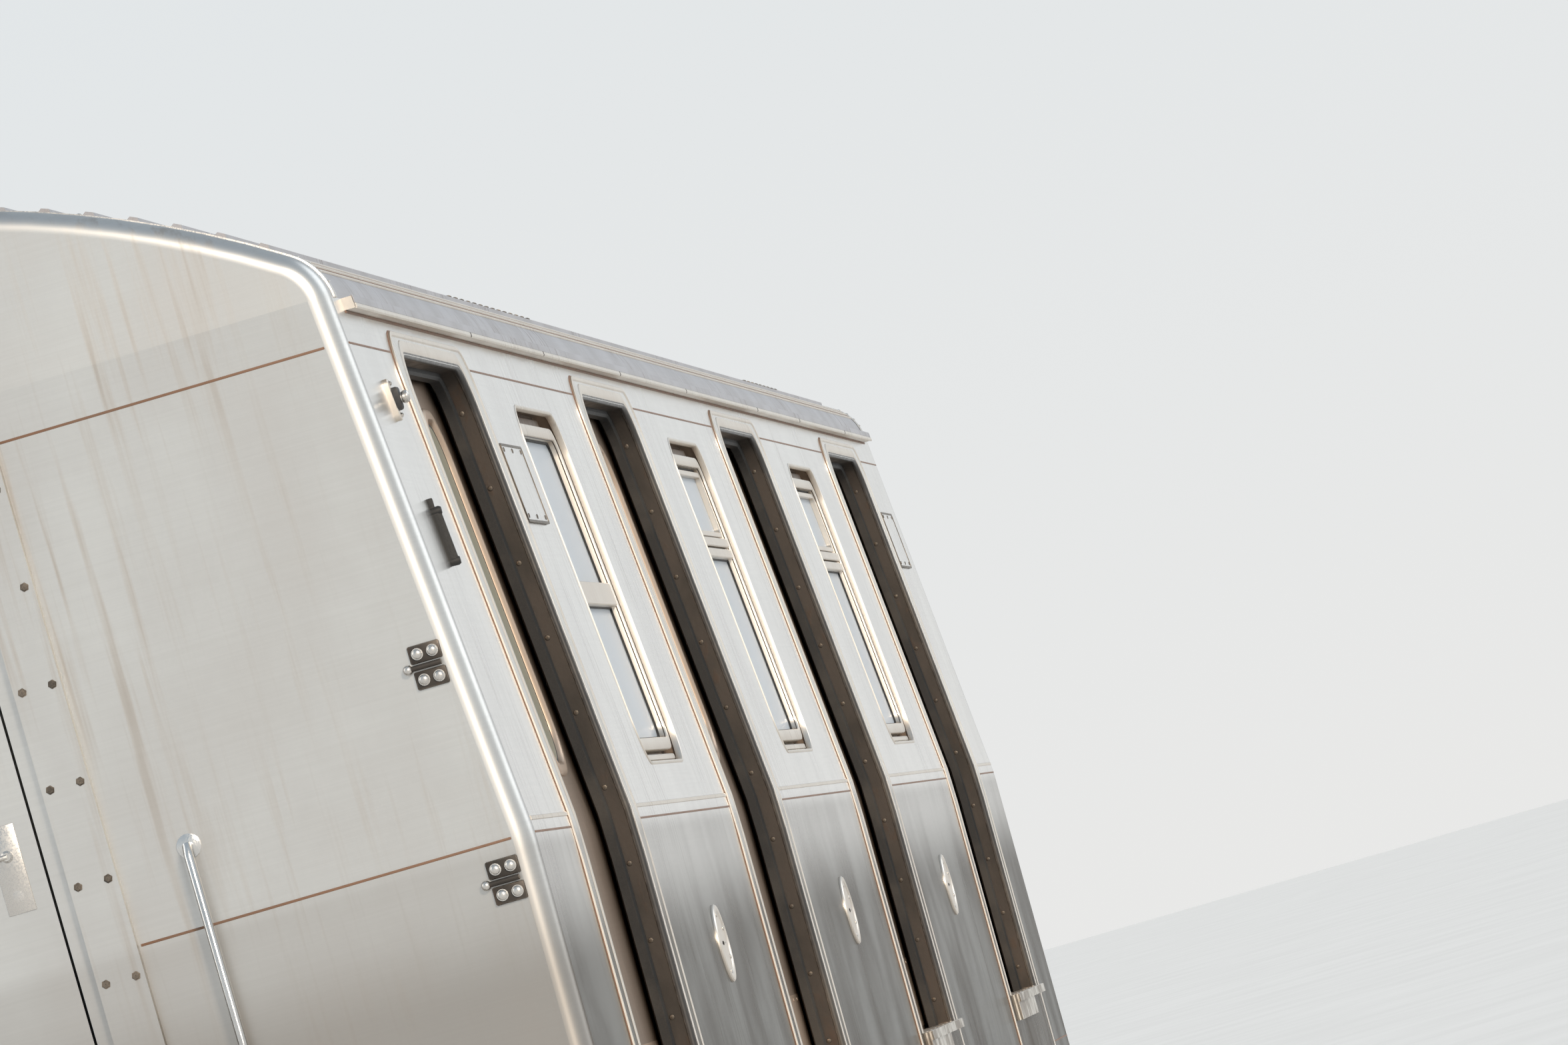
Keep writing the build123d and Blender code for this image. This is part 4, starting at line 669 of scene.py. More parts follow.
def windows():
    sash, lip, seat, gasket, reveal = shapes(5)
    for side, x in product(SIDES.values(), WINDOW_X):

        def bar(shape, inset, z0, z1, face, back):
            """A bar across the window, rounded at its front."""
            ease, reach = 0.003, WINDOW_W / 2 - inset
            outline = [(z0, back), (z0, face + ease), (z0 + ease, face), (z1 - ease, face),
                       (z1, face + ease), (z1, back)]
            shape.sweep([[wall(side, px, z, d) for z, d in outline]
                         for px in (x - reach, x + reach)])

        path = rounded(x, WINDOW_FOOT, WINDOW_TOP, WINDOW_W, WINDOW_R, 12)
        for shape, profile in ((sash, REVEAL_AND_SASH), (lip, WINDOW_LIP), (seat, GASKET_SEAT),
                               (gasket, GASKET), (reveal, REVEAL)):
            wall_sweep(shape, side, path, profile, True)
        bar(sash, 0.08, WINDOW_FOOT + 0.006, WINDOW_FOOT + 0.023, 0.015, 0.049)
        bar(reveal, 0.09, WINDOW_TOP - 0.072, WINDOW_TOP - 0.004, 0.038, 0.049)
        sign = x == WINDOW_X[0]
        foot = SIGN_BAR if sign else VENT_BAR
        top = foot + SASH_BAR
        for z0, z1 in [(foot, top)] if sign else [(foot, foot + 0.028), (foot + 0.034, top)]:
            bar(sash, 0.0665, z0, z1, 0.015, 0.0375)
        bar(gasket, 0.0665, foot - 0.004, top + 0.004, 0.032, 0.0379)
        if not sign:
            path = rounded(x, top - 0.074, WINDOW_TOP, WINDOW_W, WINDOW_R, 8)
            wall_sweep(sash, side, path, VENT_FRAME, True)
    return sash, lip, seat, gasket, reveal


dress(windows(), "carbody", "",
      ("window_sashes", TRIM, "sash", 32, "window_frames"),
      ("window_lips", TRIM, "stainless"), ("window_gasket_seats", GUM, "spring_rubber"),
      ("window_gaskets", RUBBER, "spring_rubber"),
      ("window_reveals", RECESS, "door_frame_steel"))


# Oval cover plates below the windows, and the blank plates' borders and screws

COVER_X, COVER_Z, COVER_HEIGHT = 0.1315, 0.102, 1.571  # half sizes, height of the middle
COVER_RIM = ("0 1, -0.5 -4, -4 -7.2, -12 -8, -19 -6.6, -23 -3.6, -40 -3, -70 -2.6, "
             "-95 -2.5")
PLATE_FROM_DOOR, PLATE_HEIGHT, PLATE_X, PLATE_Z = 1.196, 2.787, 0.265, 0.1
PLATE_RIM = "2 -1, 2 -7.5, -4 -7.8, -5 -5.5"


def oval_covers():
    plates, screws = shapes(2)
    steps, profile = 48, mm(COVER_RIM)
    n = len(profile)
    for side, x in product(SIDES.values(), WINDOW_X):
        points = []
        for i in range(steps):
            a = 2 * pi * i / steps
            out = Vector((cos(a) / COVER_X, sin(a) / COVER_Z)).normalized()
            points += [wall(side, x + COVER_X * cos(a) + o * out.x,
                            COVER_HEIGHT + COVER_Z * sin(a) + o * out.y, d) for o, d in profile]
        faces = [[i * n + j, i * n + j + 1, (i + 1) % steps * n + j + 1, (i + 1) % steps * n + j]
                 for i in range(steps) for j in range(n - 1)]
        plates.add(points, [*faces, [i * n + n - 1 for i in range(steps)]])
        for i in range(6):
            a = 2 * pi * (i + 0.5) / 6
            place = wall(side, x + 0.102 * cos(a), COVER_HEIGHT + 0.074 * sin(a), -0.003)
            screws.stud(place, (0, side, 0), 0.0065, 0.003)
    return plates, screws


def plate_trim():
    """Borders and screws for the blank number plates on the photographed side."""
    border, screws = shapes(2)
    side = SIDES["right"]
    for door in (DOOR_X[0], DOOR_X[-1]):
        x, z = door + PLATE_FROM_DOOR, PLATE_HEIGHT
        path = rounded(x, z - PLATE_Z, z + PLATE_Z, 2 * PLATE_X, 0.006, 3)
        wall_sweep(border, side, path, PLATE_RIM, True)
        for dx, dz in product((-0.215, 0.0, 0.215), (-0.086, 0.086)):
            place = wall(side, x + dx, z + dz, -0.0058)
            screws.stud(place, (0, side, 0), 0.0065, 0.0025)
    return border, screws


dress([*oval_covers(), *plate_trim()], "carbody", "",
      ("oval_covers", TRIM, "fitting_steel"), ("oval_cover_screws", BRIGHT, "fitting_steel"),
      ("number_plate_borders", DULL, "fitting_steel"),
      ("number_plate_screws", DULL, "fitting_steel"))


# Grab handle and gate latch beside the end doors of the photographed corner and its opposite

GRAB_X, GRAB_FOOT, GRAB_TOP = 8.222, 2.56, 2.68
LATCH_X, LATCH_Z = 8.203, 2.95


def corner_fittings(side, end):
    grab, plate, block, knob = shapes(4)
    out = (0, side, 0)
    x = end * GRAB_X
    grip = mm("-8 0, -9 15, -6 21, 6 21, 9 15, 8 0")
    grab.sweep([[wall(side, x + dx, z, -off) for dx, off in grip]
                for z in (GRAB_FOOT, GRAB_TOP)])
    for z in (GRAB_FOOT, GRAB_TOP):
        grab.lathe("0 -2, 10 -2, 11 18, 8 23.5, 0 23.5", out, wall(side, x, z), 14)
    y = half_width(2.7)
    grab.slab(x - 0.004, x + 0.004, side * (y - 0.004), side * (y + 0.012), 2.675, 2.712)
    grab.stud(wall(side, x - end * 0.03, GRAB_FOOT), out, 0.004, 0.005)
    x, z = end * LATCH_X, LATCH_Z
    path = rounded(x, z - 0.05, z + 0.05, 0.036, 0.014, 5)
    wall_sweep(plate, side, path, "0 0, 0 -11, -2 -13, -8 -13.5", True, filled=True)
    y = half_width(z)
    block.slab(x - 0.017, x + 0.017, side * (y - 0.004), side * (y + 0.027),
               z - 0.027, z + 0.027, 0.006)
    knob.lathe("0 0, 12 0, 12 3, 14 6, 15 11, 14 17, 9.5 20.5, 0 21.5", out,
               (x, side * (y + 0.026), z))
    for dz in (-0.03808, 0.03808):
        knob.bolt(wall(side, x, z + dz, -0.013), out, 0.005, 0.005)
    return grab, plate, block, knob


for side_word, end_word in (("right", "rear"), ("left", "front")):
    dress(corner_fittings(SIDES[side_word], ENDS[end_word]), "carbody",
          "_" + side_word + "_" + end_word,
          ("corner_grab", RUBBER, "underframe_black"), ("latch_plate", TRIM, "fitting_steel"),
          ("latch_block", BLACK, "underframe_black"), ("latch_knob", BRIGHT, "fitting_steel"))


# Door leaves: window bezels, glazing rubber, guards, meeting edges and kick plates

BEZEL = "34 1, 33 -4.5, 28 -8.5, 18 -10, 6 -9, 0 -4, -4 6, -4 30, 0 30"
PANE_RUBBER = "-3.5 20, -8 22, -13 31, -13 34.5, -3.5 34.5"
GUARD = "-3 8, -3 4, -6 3"
GUARD_RUBBER = "-3.5 2.2, -9 2.2, -10 3.2, -3.5 4.2"


def leaf_trim(side, way):
    bezel, rubber, kick, guard = shapes(4)
    face, foot, top = LEAF_INSET, FLOOR + 0.006, DOOR_TOP + 0.004
    for x in DOOR_X:
        path = rounded(x + way * DOOR_HALF / 2, 2.09, 2.96, 0.3, 0.11, 12)
        wall_sweep(bezel, side, path, BEZEL, True, face)
        wall_sweep(rubber, side, path, PANE_RUBBER, True, face)
        wall_sweep(rubber, side, path, GUARD_RUBBER, True, face)
        wall_sweep(guard, side, path, GUARD, True, face, True)
        edge = x + way * 0.003
        wall_strip(rubber, side, edge, x + way * 0.0005, foot, top,
                   face + 0.002, face + LEAF - 0.002, 12)
        wall_strip(rubber, side, edge, x + way * 0.026, foot, top, face - 0.003, face + 0.001, 12)
        wall_strip(kick, side, x + way * 0.032, x + way * (DOOR_HALF + 0.03),
                   FLOOR + 0.012, FLOOR + 0.23, face - 0.0016, face + 0.001, 2)
        for i in range(6):
            across = way * (0.06 + i * 0.125)
            place = wall(side, x + across, FLOOR + 0.216, face - 0.0014)
            kick.stud(place, (0, side, 0), 0.005, 0.002, 8)
    return bezel, rubber, kick, guard


for word, side in SIDES.items():
    for motion, way in (("rearward", -1), ("forward", 1)):
        tail = word + "_" + motion
        dress(leaf_trim(side, way), "doors_" + tail, "_" + tail,
              ("leaf_bezels", PEACH, "leaf_steel"), ("leaf_rubbers", RUBBER, "spring_rubber"),
              ("leaf_kick_plates", PEACH, "leaf_steel"), ("leaf_guards", LEAF_GLASS, "glass"))


# Roof: smooth rounded ends in place of the CAD caps, joint strips, shoulder rolls, louvres

def shoulder():
    """Across and up to the centre of the turn between wall and crown."""
    lean = atan(HIGH_LEAN)
    return half_width(EAVES) - SHOULDER_R * cos(lean), EAVES - SHOULDER_R * sin(lean)


def roof_outline(shrink, steps=14):
    """Points (y, z) of the roof line from the left eaves over the crown to the right."""
    across, up = shoulder()
    drop = CROWN_TOP - up
    crown_r = (across ** 2 + drop ** 2 - SHOULDER_R ** 2) / (2 * (drop - SHOULDER_R))
    crown_z = CROWN_TOP - crown_r
    half_angle = asin(across / (crown_r - SHOULDER_R))
    radius = SHOULDER_R - shrink
    start, end = asin((EAVES - up) / radius), pi / 2 - half_angle
    points = []
    for i in range(steps + 1):
        a = start + (end - start) * i / steps
        points.append((across + radius * cos(a), up + radius * sin(a)))
    for i in range(1, 2 * steps):
        a = half_angle * (1 - i / steps)
        points.append(((crown_r - shrink) * sin(a), crown_z + (crown_r - shrink) * cos(a)))
    return points + [(-y, z) for y, z in reversed(points[:steps + 1])]


def roof_ends():
    cap, joint = shapes(2)
    start = BODY_END - ROOF_CAP
    turns = [pi / 2 * i / 10 for i in range(11)]
    # distance along the car, how far the outline shrinks there
    places = [(start, 0.0)] + [(BODY_END - CORNER_R + CORNER_R * sin(a), CORNER_R * (1 - cos(a)))
                               for a in turns]
    strip = [(start + dx, shrink) for dx, shrink in mm("-30 -1, -28 -4, 22 -4, 24 1")]
    count = len(roof_outline(0))
    for end in ENDS.values():
        cap.sweep([[(end * x, y, z) for y, z in roof_outline(shrink)] for x, shrink in places])
        joint.sweep([[(end * x, *roof_outline(shrink)[i]) for x, shrink in strip]
                     for i in range(count)])
        for y, z in roof_outline(-0.0035)[4:count - 4:3]:
            joint.stud((end * (start - 0.004), y, z), (0, y * 0.42, 1), 0.006, 0.003, 8)
    return cap, joint


def shoulder_rolls():
    """Three bright rolls with sealant between them where the roof turns over to the crown."""
    rolls, seams = shapes(2)
    across, up = shoulder()
    end = BODY_END - ROOF_CAP - 0.03
    for side, i in product(SIDES.values(), range(6)):
        a = radians(34 + 4 * i)
        y, z = side * (across + SHOULDER_R * cos(a)), up + SHOULDER_R * sin(a)
        shape, radius = (seams, 0.0022) if i % 2 else (rolls, 0.0042)
        shape.tube([(-end, y, z), (end, y, z)], radius, 8)
    return rolls, seams


SLAT_PITCH = 0.055
CROWN_FALL = 4.74  # the crown falls by y squared over this


def hatch_details():
    """Slats across the hatches' slots and a row of bolts along each side."""
    slats, fixings = shapes(2)
    # middle, length of each hatch
    for x, length in ((-1.95, 2.3), (BODY_END - 1.0, 1.5)):
        slot_half = length * 0.35
        count = int(2 * slot_half / SLAT_PITCH)
        for i, way, k in product(range(1, 5), PAIR, range(count)):
            y = way * i * 0.23
            z = CROWN_TOP - y * y / CROWN_FALL
            px = x - slot_half + 0.03 + k * SLAT_PITCH
            slats.sweep([[(px + dx, py, z + dz) for dx, dz in mm("-12 -26, 14 4, 17 2, -9 -28")]
                         for py in (y - 0.03, y + 0.03)])
        rows = int(length / 0.16)
        for k, y in product(range(rows), (-1.115, 1.115)):
            px = x - length / 2 + 0.05 + k * (length - 0.1) / (rows - 1)
            z = CROWN_TOP + 0.012 - y * y / CROWN_FALL * 1.035
            fixings.bolt((px, y, z), (0, y * 0.45, 1), 0.007, 0.004)
    return slats, fixings


dress([*roof_ends(), *shoulder_rolls(), *hatch_details()], "carbody", "",
      ("roof_ends", END, "roof_steel", 50, "roof_end_caps"),
      ("roof_joint_strips", BRIGHT, "fitting_steel"),
      ("roof_shoulder_rolls", TRIM, "stainless"),
      ("roof_shoulder_seams", SEALANT, "door_frame_steel"),
      ("hatch_slats", BLACK, "roof_black"), ("hatch_bolts", DULL, "fitting_steel"))


# Ends: door trim, hand rails, bolted brackets, anti-climber bolts

BRACKET_Z = (1.83, 2.338)
HANDLE_Y = -0.32


def end_door_trim(end):
    """Window rubber, kick plate, handle and hinge bolts on the end door, which swing with it."""
    rubber, metal = shapes(2)
    x, out = end * END_FACE, (end, 0, 0)
    lip = mm("22 -1, 20 5, 4 8, -6 3, -6 -38, 0 -38")
    rubber.sweep([[(x + end * h, y + o * ny, z + o * nz) for o, h in lip]
                  for y, z, ny, nz in rounded(0, 2.06, 2.84, 0.42, 0.11, 6)], True)
    z0, z1 = FLOOR + 0.02, FLOOR + 0.3
    metal.slab(x - end * 0.001, x + end * 0.0025, -0.37, 0.37, z0, z1, 0.001)
    for i, z in product(range(7), (z0 + 0.02, z1 - 0.02)):
        metal.stud((x + end * 0.002, -0.345 + i * 0.115, z), out, 0.006, 0.002, 8)
    y = HANDLE_Y
    metal.slab(x - end * 0.001, x + end * 0.004, y - 0.032, y + 0.032, 2.06, 2.26, 0.0015)
    metal.lathe("0 0, 14 0, 14 6, 9 10, 9 12, 0 12", out, (x, y, 2.19), 16)
    metal.tube([(x + end * 0.01, y, 2.19), (x + end * 0.0125, y + 0.02, 2.19),
                (x + end * 0.0125, y + 0.115, 2.186)], 0.006)
    metal.lathe("0 0, 12 0, 12 4, 0 5", out, (x, y, 2.1), 16)
    for z in (1.42, 1.465, 2.95, 2.995):
        metal.bolt((x - end * 0.0005, 0.345, z), out, 0.006, 0.005)
    return rubber, metal


def bracket(plates, nuts, end, side, z):
    """Two brown plates with dome nuts, and a rod with a ball end between them."""
    y1 = half_width(z) - CORNER_R
    y0 = y1 - 0.074
    x = end * BODY_END
    for way in PAIR:
        plates.slab(x - end * 0.001, x + end * 0.011, side * y0, side * y1,
                    z + way * 0.009, z + way * 0.05, 0.004)
        for y in (y0 + 0.02, y1 - 0.019):
            nuts.lathe("0 0, 13.5 0, 13.5 3, 11.5 3, 11.5 8, 8.5 11.5, 4 13, 0 13.2",
                       (end, 0, 0), (x + end * 0.0105, side * y, z + way * 0.0295), 18)
    plates.tube([(x + end * 0.015, side * y, z) for y in (y1 - 0.006, y0 - 0.014)], 0.0065, 12)
    ball = [(0.0115 * sin(pi * i / 10), 0.0115 - 0.0115 * cos(pi * i / 10)) for i in range(11)]
    nuts.lathe(ball, (0, -side, 0), (x + end * 0.013, side * (y0 + 0.002), z), 16)


def end_details():
    plates, nuts, bolts, rails, beads = shapes(5)
    for end in ENDS.values():
        out, face = (end, 0, 0), end * BODY_END
        for side in SIDES.values():
            for z in BRACKET_Z:
                bracket(plates, nuts, end, side, z)
            for i, y in product(range(9), (0.46, 0.53)):
                place = (end * (BODY_END + 0.034), side * y, 1.18 + i * 0.225)
                bolts.bolt(place, out, 0.008, 0.006)
            y = side * 0.72
            rails.tube([(face + end * off, y, z) for off, z in
                        mm("0 1350, 45 1352, 55 1370, 55 2080, 45 2098, 0 2100")], 0.011, 12)
            for z in (1.35, 2.1):
                rails.lathe("0 0, 28 0, 28 4, 15 8, 0 8", out, (face, y, z), 20)
            for z in (BELT, DOOR_TOP):
                beads.slab(face - end * 0.001, face + end * 0.0015, side * 0.555,
                           side * (half_width(z) - CORNER_R - 0.002), z - 0.003, z + 0.003, 0.001)
        for i, z in product(range(12), (0.974, 1.039)):
            place = (end * (BODY_END + 0.0475), -0.7 + i * 1.4 / 11, z)
            bolts.bolt(place, out, 0.009, 0.008)
    return plates, nuts, bolts, rails, beads


dress(end_details(), "carbody", "",
      ("bracket_plates", JAMB, "fitting_steel", 32, "gate_brackets"),
      ("bracket_nuts", BRIGHT, "fitting_steel"), ("end_bolts", DULL, "fitting_steel"),
      ("end_hand_rails", POLE, "fitting_steel"), ("end_seams", SEALANT, "door_frame_steel"))
for word, end in ENDS.items():
    dress(end_door_trim(end), "end_door_" + word, "_" + word,
          ("end_door_rubber", RUBBER, "spring_rubber"),
          ("end_door_fittings", BRIGHT, "fitting_steel"))


# Door sills: worn nosings with a row of screws

def sill_noses():
    nose = Shape()
    out = half_width(FLOOR) + 0.032
    for side, x in product(SIDES.values(), DOOR_X):
        nose.slab(x - DOOR_HALF + 0.004, x + DOOR_HALF - 0.004, side * (out - 0.015),
                  side * (out - 0.0002), FLOOR - 0.018, FLOOR + 0.0016, 0.004)
        for i in range(8):
            place = (x - 0.66 + i * 0.1886, side * (out - 0.035), FLOOR)
            nose.stud(place, (0, 0, 1), 0.006, 0.0016, 8)
    nose.make("sill_noses", "carbody", TRIM, "tread_plate")


sill_noses()


# Couplers: bolted heads, clamped bars and pins

COUPLER_FACE, COUPLER_Z = 9.175, 0.76
COUPLER_BOLTS = "95 55, 95 -55, -95 55, -95 -55, 45 88, -45 88, 45 -88, -45 -88"


def coupler_details(end):
    bolts, clamps = shapes(2)
    z = COUPLER_Z
    for dy, dz in mm(COUPLER_BOLTS):
        bolts.bolt((end * (COUPLER_FACE - 0.09), dy, z + dz), (-end, 0, 0), 0.013, 0.012)
    for x in (8.56, 8.9):
        clamps.slab(end * x, end * (x + 0.06), -0.052, 0.052, z - 0.049, z + 0.049, 0.005)
        for dy, way in product((-0.03, 0.03), (1, -1)):
            bolts.bolt((end * (x + 0.03), dy, z + way * 0.049), (0, 0, way), 0.01, 0.008)
    for way in (1, -1):
        clamps.lathe("44 0, 44 6, 30 6, 30.5 0, 44 0", (0, 0, way),
                     (end * (COUPLER_FACE - 0.045), 0, z + way * 0.11), 28)
    return bolts, clamps


for word, end in ENDS.items():
    dress(coupler_details(end), "coupler_" + word, "_" + word,
          ("coupler_bolts", DULL, "fitting_steel"), ("coupler_clamps", PIPE, "cast_steel"))


# Underframe: air tanks with domed ends, latched cases, resistor strips, pipes

TANKS = [-4, 1]  # first bearer over each tank, counted from the middle
TANK_R, TANK_Z, STRAP_HALF = 0.19, 0.69, 0.025


def tanks():
    """Domed tanks with drain plugs, held up by straps, in place of the CAD ones."""
    shell, strap, bolts = shapes(3)
    dome = [(TANK_R * sin(a), 0.075 * (1 - cos(a))) for a in (pi / 2 * i / 8 for i in range(9))]
    angles = [pi * i / 18 for i in range(19)]

    def hoop(radius):
        ring = [(-cos(a) * radius, TANK_Z - sin(a) * radius) for a in angles]
        return [(ring[0][0], SKIRT), *ring, (ring[-1][0], SKIRT)]

    for number in TANKS:
        first = number * BEARER_PITCH
        x0, length = first - 0.25, BEARER_PITCH + 0.5
        middle = length / 2
        seams = (0.085, 0.09, 0.095, middle - 0.005, middle, middle + 0.005,
                 length - 0.09, length - 0.085)
        profile = [*dome, *((TANK_R, t) for t in seams), *((r, length - t) for r, t in dome[::-1])]
        shell.lathe(profile, (1, 0, 0), (x0, 0, TANK_Z), 48)
        shell.lathe("0 -4, 18 -4, 18 14, 0 14", (0, 0, -1),
                    (x0 + 0.3, 0, TANK_Z - TANK_R + 0.002), 6)
        for x in (first, first + BEARER_PITCH):
            x1, x2 = x - STRAP_HALF, x + STRAP_HALF
            strap.sweep([[(x1, *a), (x2, *a), (x2, *b), (x1, *b)]
                         for a, b in zip(hoop(TANK_R + 0.003), hoop(TANK_R - 0.002))])
            for way in PAIR:
                place = (x, way * (TANK_R + 0.003), 0.855)
                bolts.bolt(place, (0, way, 0), 0.01, 0.008)
    return shell, strap, bolts


# side, middle as a number of bearer pitches, length in pitches, depth
CASES = [
    (1, -4.0, 0.85, 0.47), (1, -3.0, 0.75, 0.52), (1, -1.5, 1.7, 0.5), (1, 0.0, 0.85, 0.43),
    (1, 1.5, 1.6, 0.52), (1, 3.0, 0.75, 0.4), (-1, -4.0, 0.75, 0.43), (-1, -3.0, 0.85, 0.52),
    (-1, -2.0, 0.7, 0.42), (-1, -0.5, 1.7, 0.5), (-1, 1.0, 0.8, 0.45),
]
RIB = 0.012


def case_details():
    """Over-centre latches, hinges, swaged ribs and end bolts on the equipment cases."""
    latches, hinges, ribs = shapes(3)
    face = CASE_OUT + 0.014
    for side, middle, pitches, depth in CASES:
        x, half = middle * BEARER_PITCH, pitches * BEARER_PITCH / 2
        foot, top, lid = SKIRT - depth + 0.08, SKIRT - 0.04, half - 0.04
        count = 2 if pitches < 1 else 4
        back, near, far = side * (face - 0.001), side * (face + 0.013), side * (face + 0.021)
        for i in range(count):
            px = x - lid + 2 * lid * (i + 0.5) / count
            latches.slab(px - 0.018, px + 0.018, back, near, foot + 0.012, foot + 0.085, 0.004)
            latches.tube([(px - 0.013, near, foot + 0.03), (px - 0.013, far, foot + 0.004),
                          (px + 0.013, far, foot + 0.004), (px + 0.013, near, foot + 0.03)],
                         0.0032, 8)
            hinges.lathe("0 0, 10 0, 10 90, 0 90", (1, 0, 0),
                         (px - 0.045, side * (face + 0.003), top - 0.006), 12)
            hinges.slab(px - 0.045, px + 0.045, back, side * (face + 0.004),
                        top - 0.05, top - 0.006, 0.0015)
        z0, z1 = foot + 0.105, top - 0.065
        for i in range(count):
            x0 = x - lid + 2 * lid * i / count + 0.045
            x1 = x - lid + 2 * lid * (i + 1) / count - 0.045
            for limits in ((x0, x1, z0, z0 + RIB), (x0, x1, z1 - RIB, z1),
                           (x0, x0 + RIB, z0, z1), (x1 - RIB, x1, z0, z1)):
                ribs.slab(*limits[:2], back, side * (face + 0.0045), *limits[2:])
        for way, z in product(PAIR, (SKIRT - 0.06, SKIRT - depth + 0.06)):
            place = (x + way * (half - 0.03), side * (CASE_OUT - 0.0005), z)
            hinges.bolt(place, (0, side, 0), 0.008, 0.007)
    return latches, hinges, ribs


BANKS, BANK_INNER = 16, 0.7


def resistor_strips():
    """Thin folded strips between the banks' bars, with the rods that carry them."""
    strips, rods = shapes(2)
    x0, x1 = 2.0 * BEARER_PITCH + 0.04, 4.2 * BEARER_PITCH - 0.04
    z0, z1 = SKIRT - 0.38 + 0.044, SKIRT - 0.044
    pitch = (x1 - x0) / BANKS
    for bank, k in product(range(BANKS), range(1, 6)):
        px = x0 + bank * pitch + 0.012 + (pitch - 0.024) * k / 6
        rings = []
        for i in range(9):
            y = -CASE_OUT + 0.034 + (CASE_OUT - BANK_INNER - 0.068) * i / 8
            fold = px + (0.004 if i % 2 else -0.004)
            a, b = fold - 0.0012, fold + 0.0012
            rings.append([(a, y, z0), (b, y, z0), (b, y, z1), (a, y, z1)])
        strips.sweep(rings)
    for z, y in product((z0 + 0.07, z1 - 0.07), (-CASE_OUT + 0.06, -0.76)):
        rods.tube([(x0 - 0.002, y, z), (x1 + 0.002, y, z)], 0.006, 8)
    return strips, rods


# across and radius of each pipe that runs along under the floor between the bogies
PIPE_RUNS = mm("235 19, -235 19, 300 13, -305 22, 350 16, -370 12")


def pipes():
    """Brake and air pipes with unions, clamped under each cross bearer."""
    runs, unions = shapes(2)
    half = BOGIE_X - 1.6
    for y, r in PIPE_RUNS:
        z = SKIRT - r - 0.003
        runs.tube([(-half, y, z + 0.03), (-half + 0.06, y, z), (half - 0.06, y, z),
                   (half, y, z + 0.03)], r, 12)
        for i in range(-4, 5):
            x = i * BEARER_PITCH
            unions.slab(x - 0.012, x + 0.012, y - r - 0.008, y + r + 0.008,
                        z - r - 0.003, SKIRT, 0.002)
        for x in (-3 * BEARER_PITCH + 0.35, BEARER_PITCH + 0.6):
            unions.lathe([(r, 0.0), (r * 1.45, 0.0), (r * 1.45, 0.022), (r * 1.2, 0.024),
                          (r * 1.2, 0.034), (r * 1.45, 0.036), (r * 1.45, 0.058), (r, 0.058)],
                         (1, 0, 0), (x, y, z), 6)
    return runs, unions


dress([*tanks(), *case_details(), *resistor_strips(), *pipes()], "carbody", "",
      ("air_tank_shells", TANK, "case_grey", 32, "air_tanks"),
      ("air_tank_straps", FRAME, "underframe_black"),
      ("air_tank_bolts", DULL, "fitting_steel"),
      ("case_latches", BRIGHT, "fitting_steel"), ("case_hinges", DULL, "fitting_steel"),
      ("case_ribs", CASE, "case_grey"), ("resistor_strips", RESISTOR, "grid_steel"),
      ("resistor_rods", BRIGHT, "fitting_steel"), ("underframe_pipes", PIPE, "fitting_steel"),
      ("underframe_pipe_clamps", FRAME, "underframe_black"))


# Bogies: coil springs and air springs in place of the CAD ones, covers, dampers, motor bands

COIL_FOOT, COIL_TOP = 0.4, 0.62
BUMPER = "0 400, 26 400, 24 460, 30 480, 22 520, 0 524"
AIR_SPRING = (
    "0 610, 160 610, 164 616, 160 624, 186 630, 211 646, 219.5 664, 213 680, 197 688, "
    "213 696, 219.5 712, 211 730, 186 746, 166 750, 166 760, 0 760")
GIRDLE = "196 683, 201.5 683, 203.5 688, 201.5 693, 196 693"
AXLE_COVER = "0 -1, 98 -1, 98 8, 90 12, 74 12, 70 17, 30 19, 28 24, 0 24"
DAMPER = ("0 0, 20 0, 20 18, 32 22, 32 165, 28 170, 14 172, 14 290, 20 294, 20 310, "
          "0 310")
# along from the bogie's centre and height of the bends, and of the clips
BRAKE_PIPE = ("-1300 752, -700 752, -640 735, -490 640, -440 622, 440 622, 490 640, 640 735, "
              "700 752, 1300 752")
PIPE_CLIPS = "-1200 752, -800 752, -360 622, 360 622, 800 752, 1200 752"
MOTOR_X, MOTOR_Z = AXLE - 0.47, 0.452


def coil(shape, x, y, z0, z1, radius=0.05, wire=0.0105, turns=4.6):
    steps = int(turns * 18)
    rise = z1 - z0 - 2 * wire
    angles = [2 * pi * turns * i / steps for i in range(steps + 1)]
    shape.tube([(x + radius * cos(a), y + radius * sin(a), z0 + wire + rise * i / steps)
                for i, a in enumerate(angles)], wire, 8)


def springs(centre):
    coils, seats, bellows = shapes(3)
    up = (0, 0, 1)
    for y in (-JOURNAL_Y, JOURNAL_Y):
        for axle, dx in product((-AXLE, AXLE), (-COIL_X, COIL_X)):
            x = centre + axle + dx
            coil(coils, x, y, COIL_FOOT + 0.01, COIL_TOP - 0.01)
            for z in (COIL_FOOT, COIL_TOP - 0.012):
                seats.lathe("0 0, 60.5 0, 60.5 12, 0 12", up, (x, y, z))
            bellows.lathe(BUMPER, up, (x, y, 0), 16)
        bellows.lathe(AIR_SPRING, up, (centre, y, 0), 48)
        seats.lathe(GIRDLE, up, (centre, y, 0), 48)
    return coils, seats, bellows


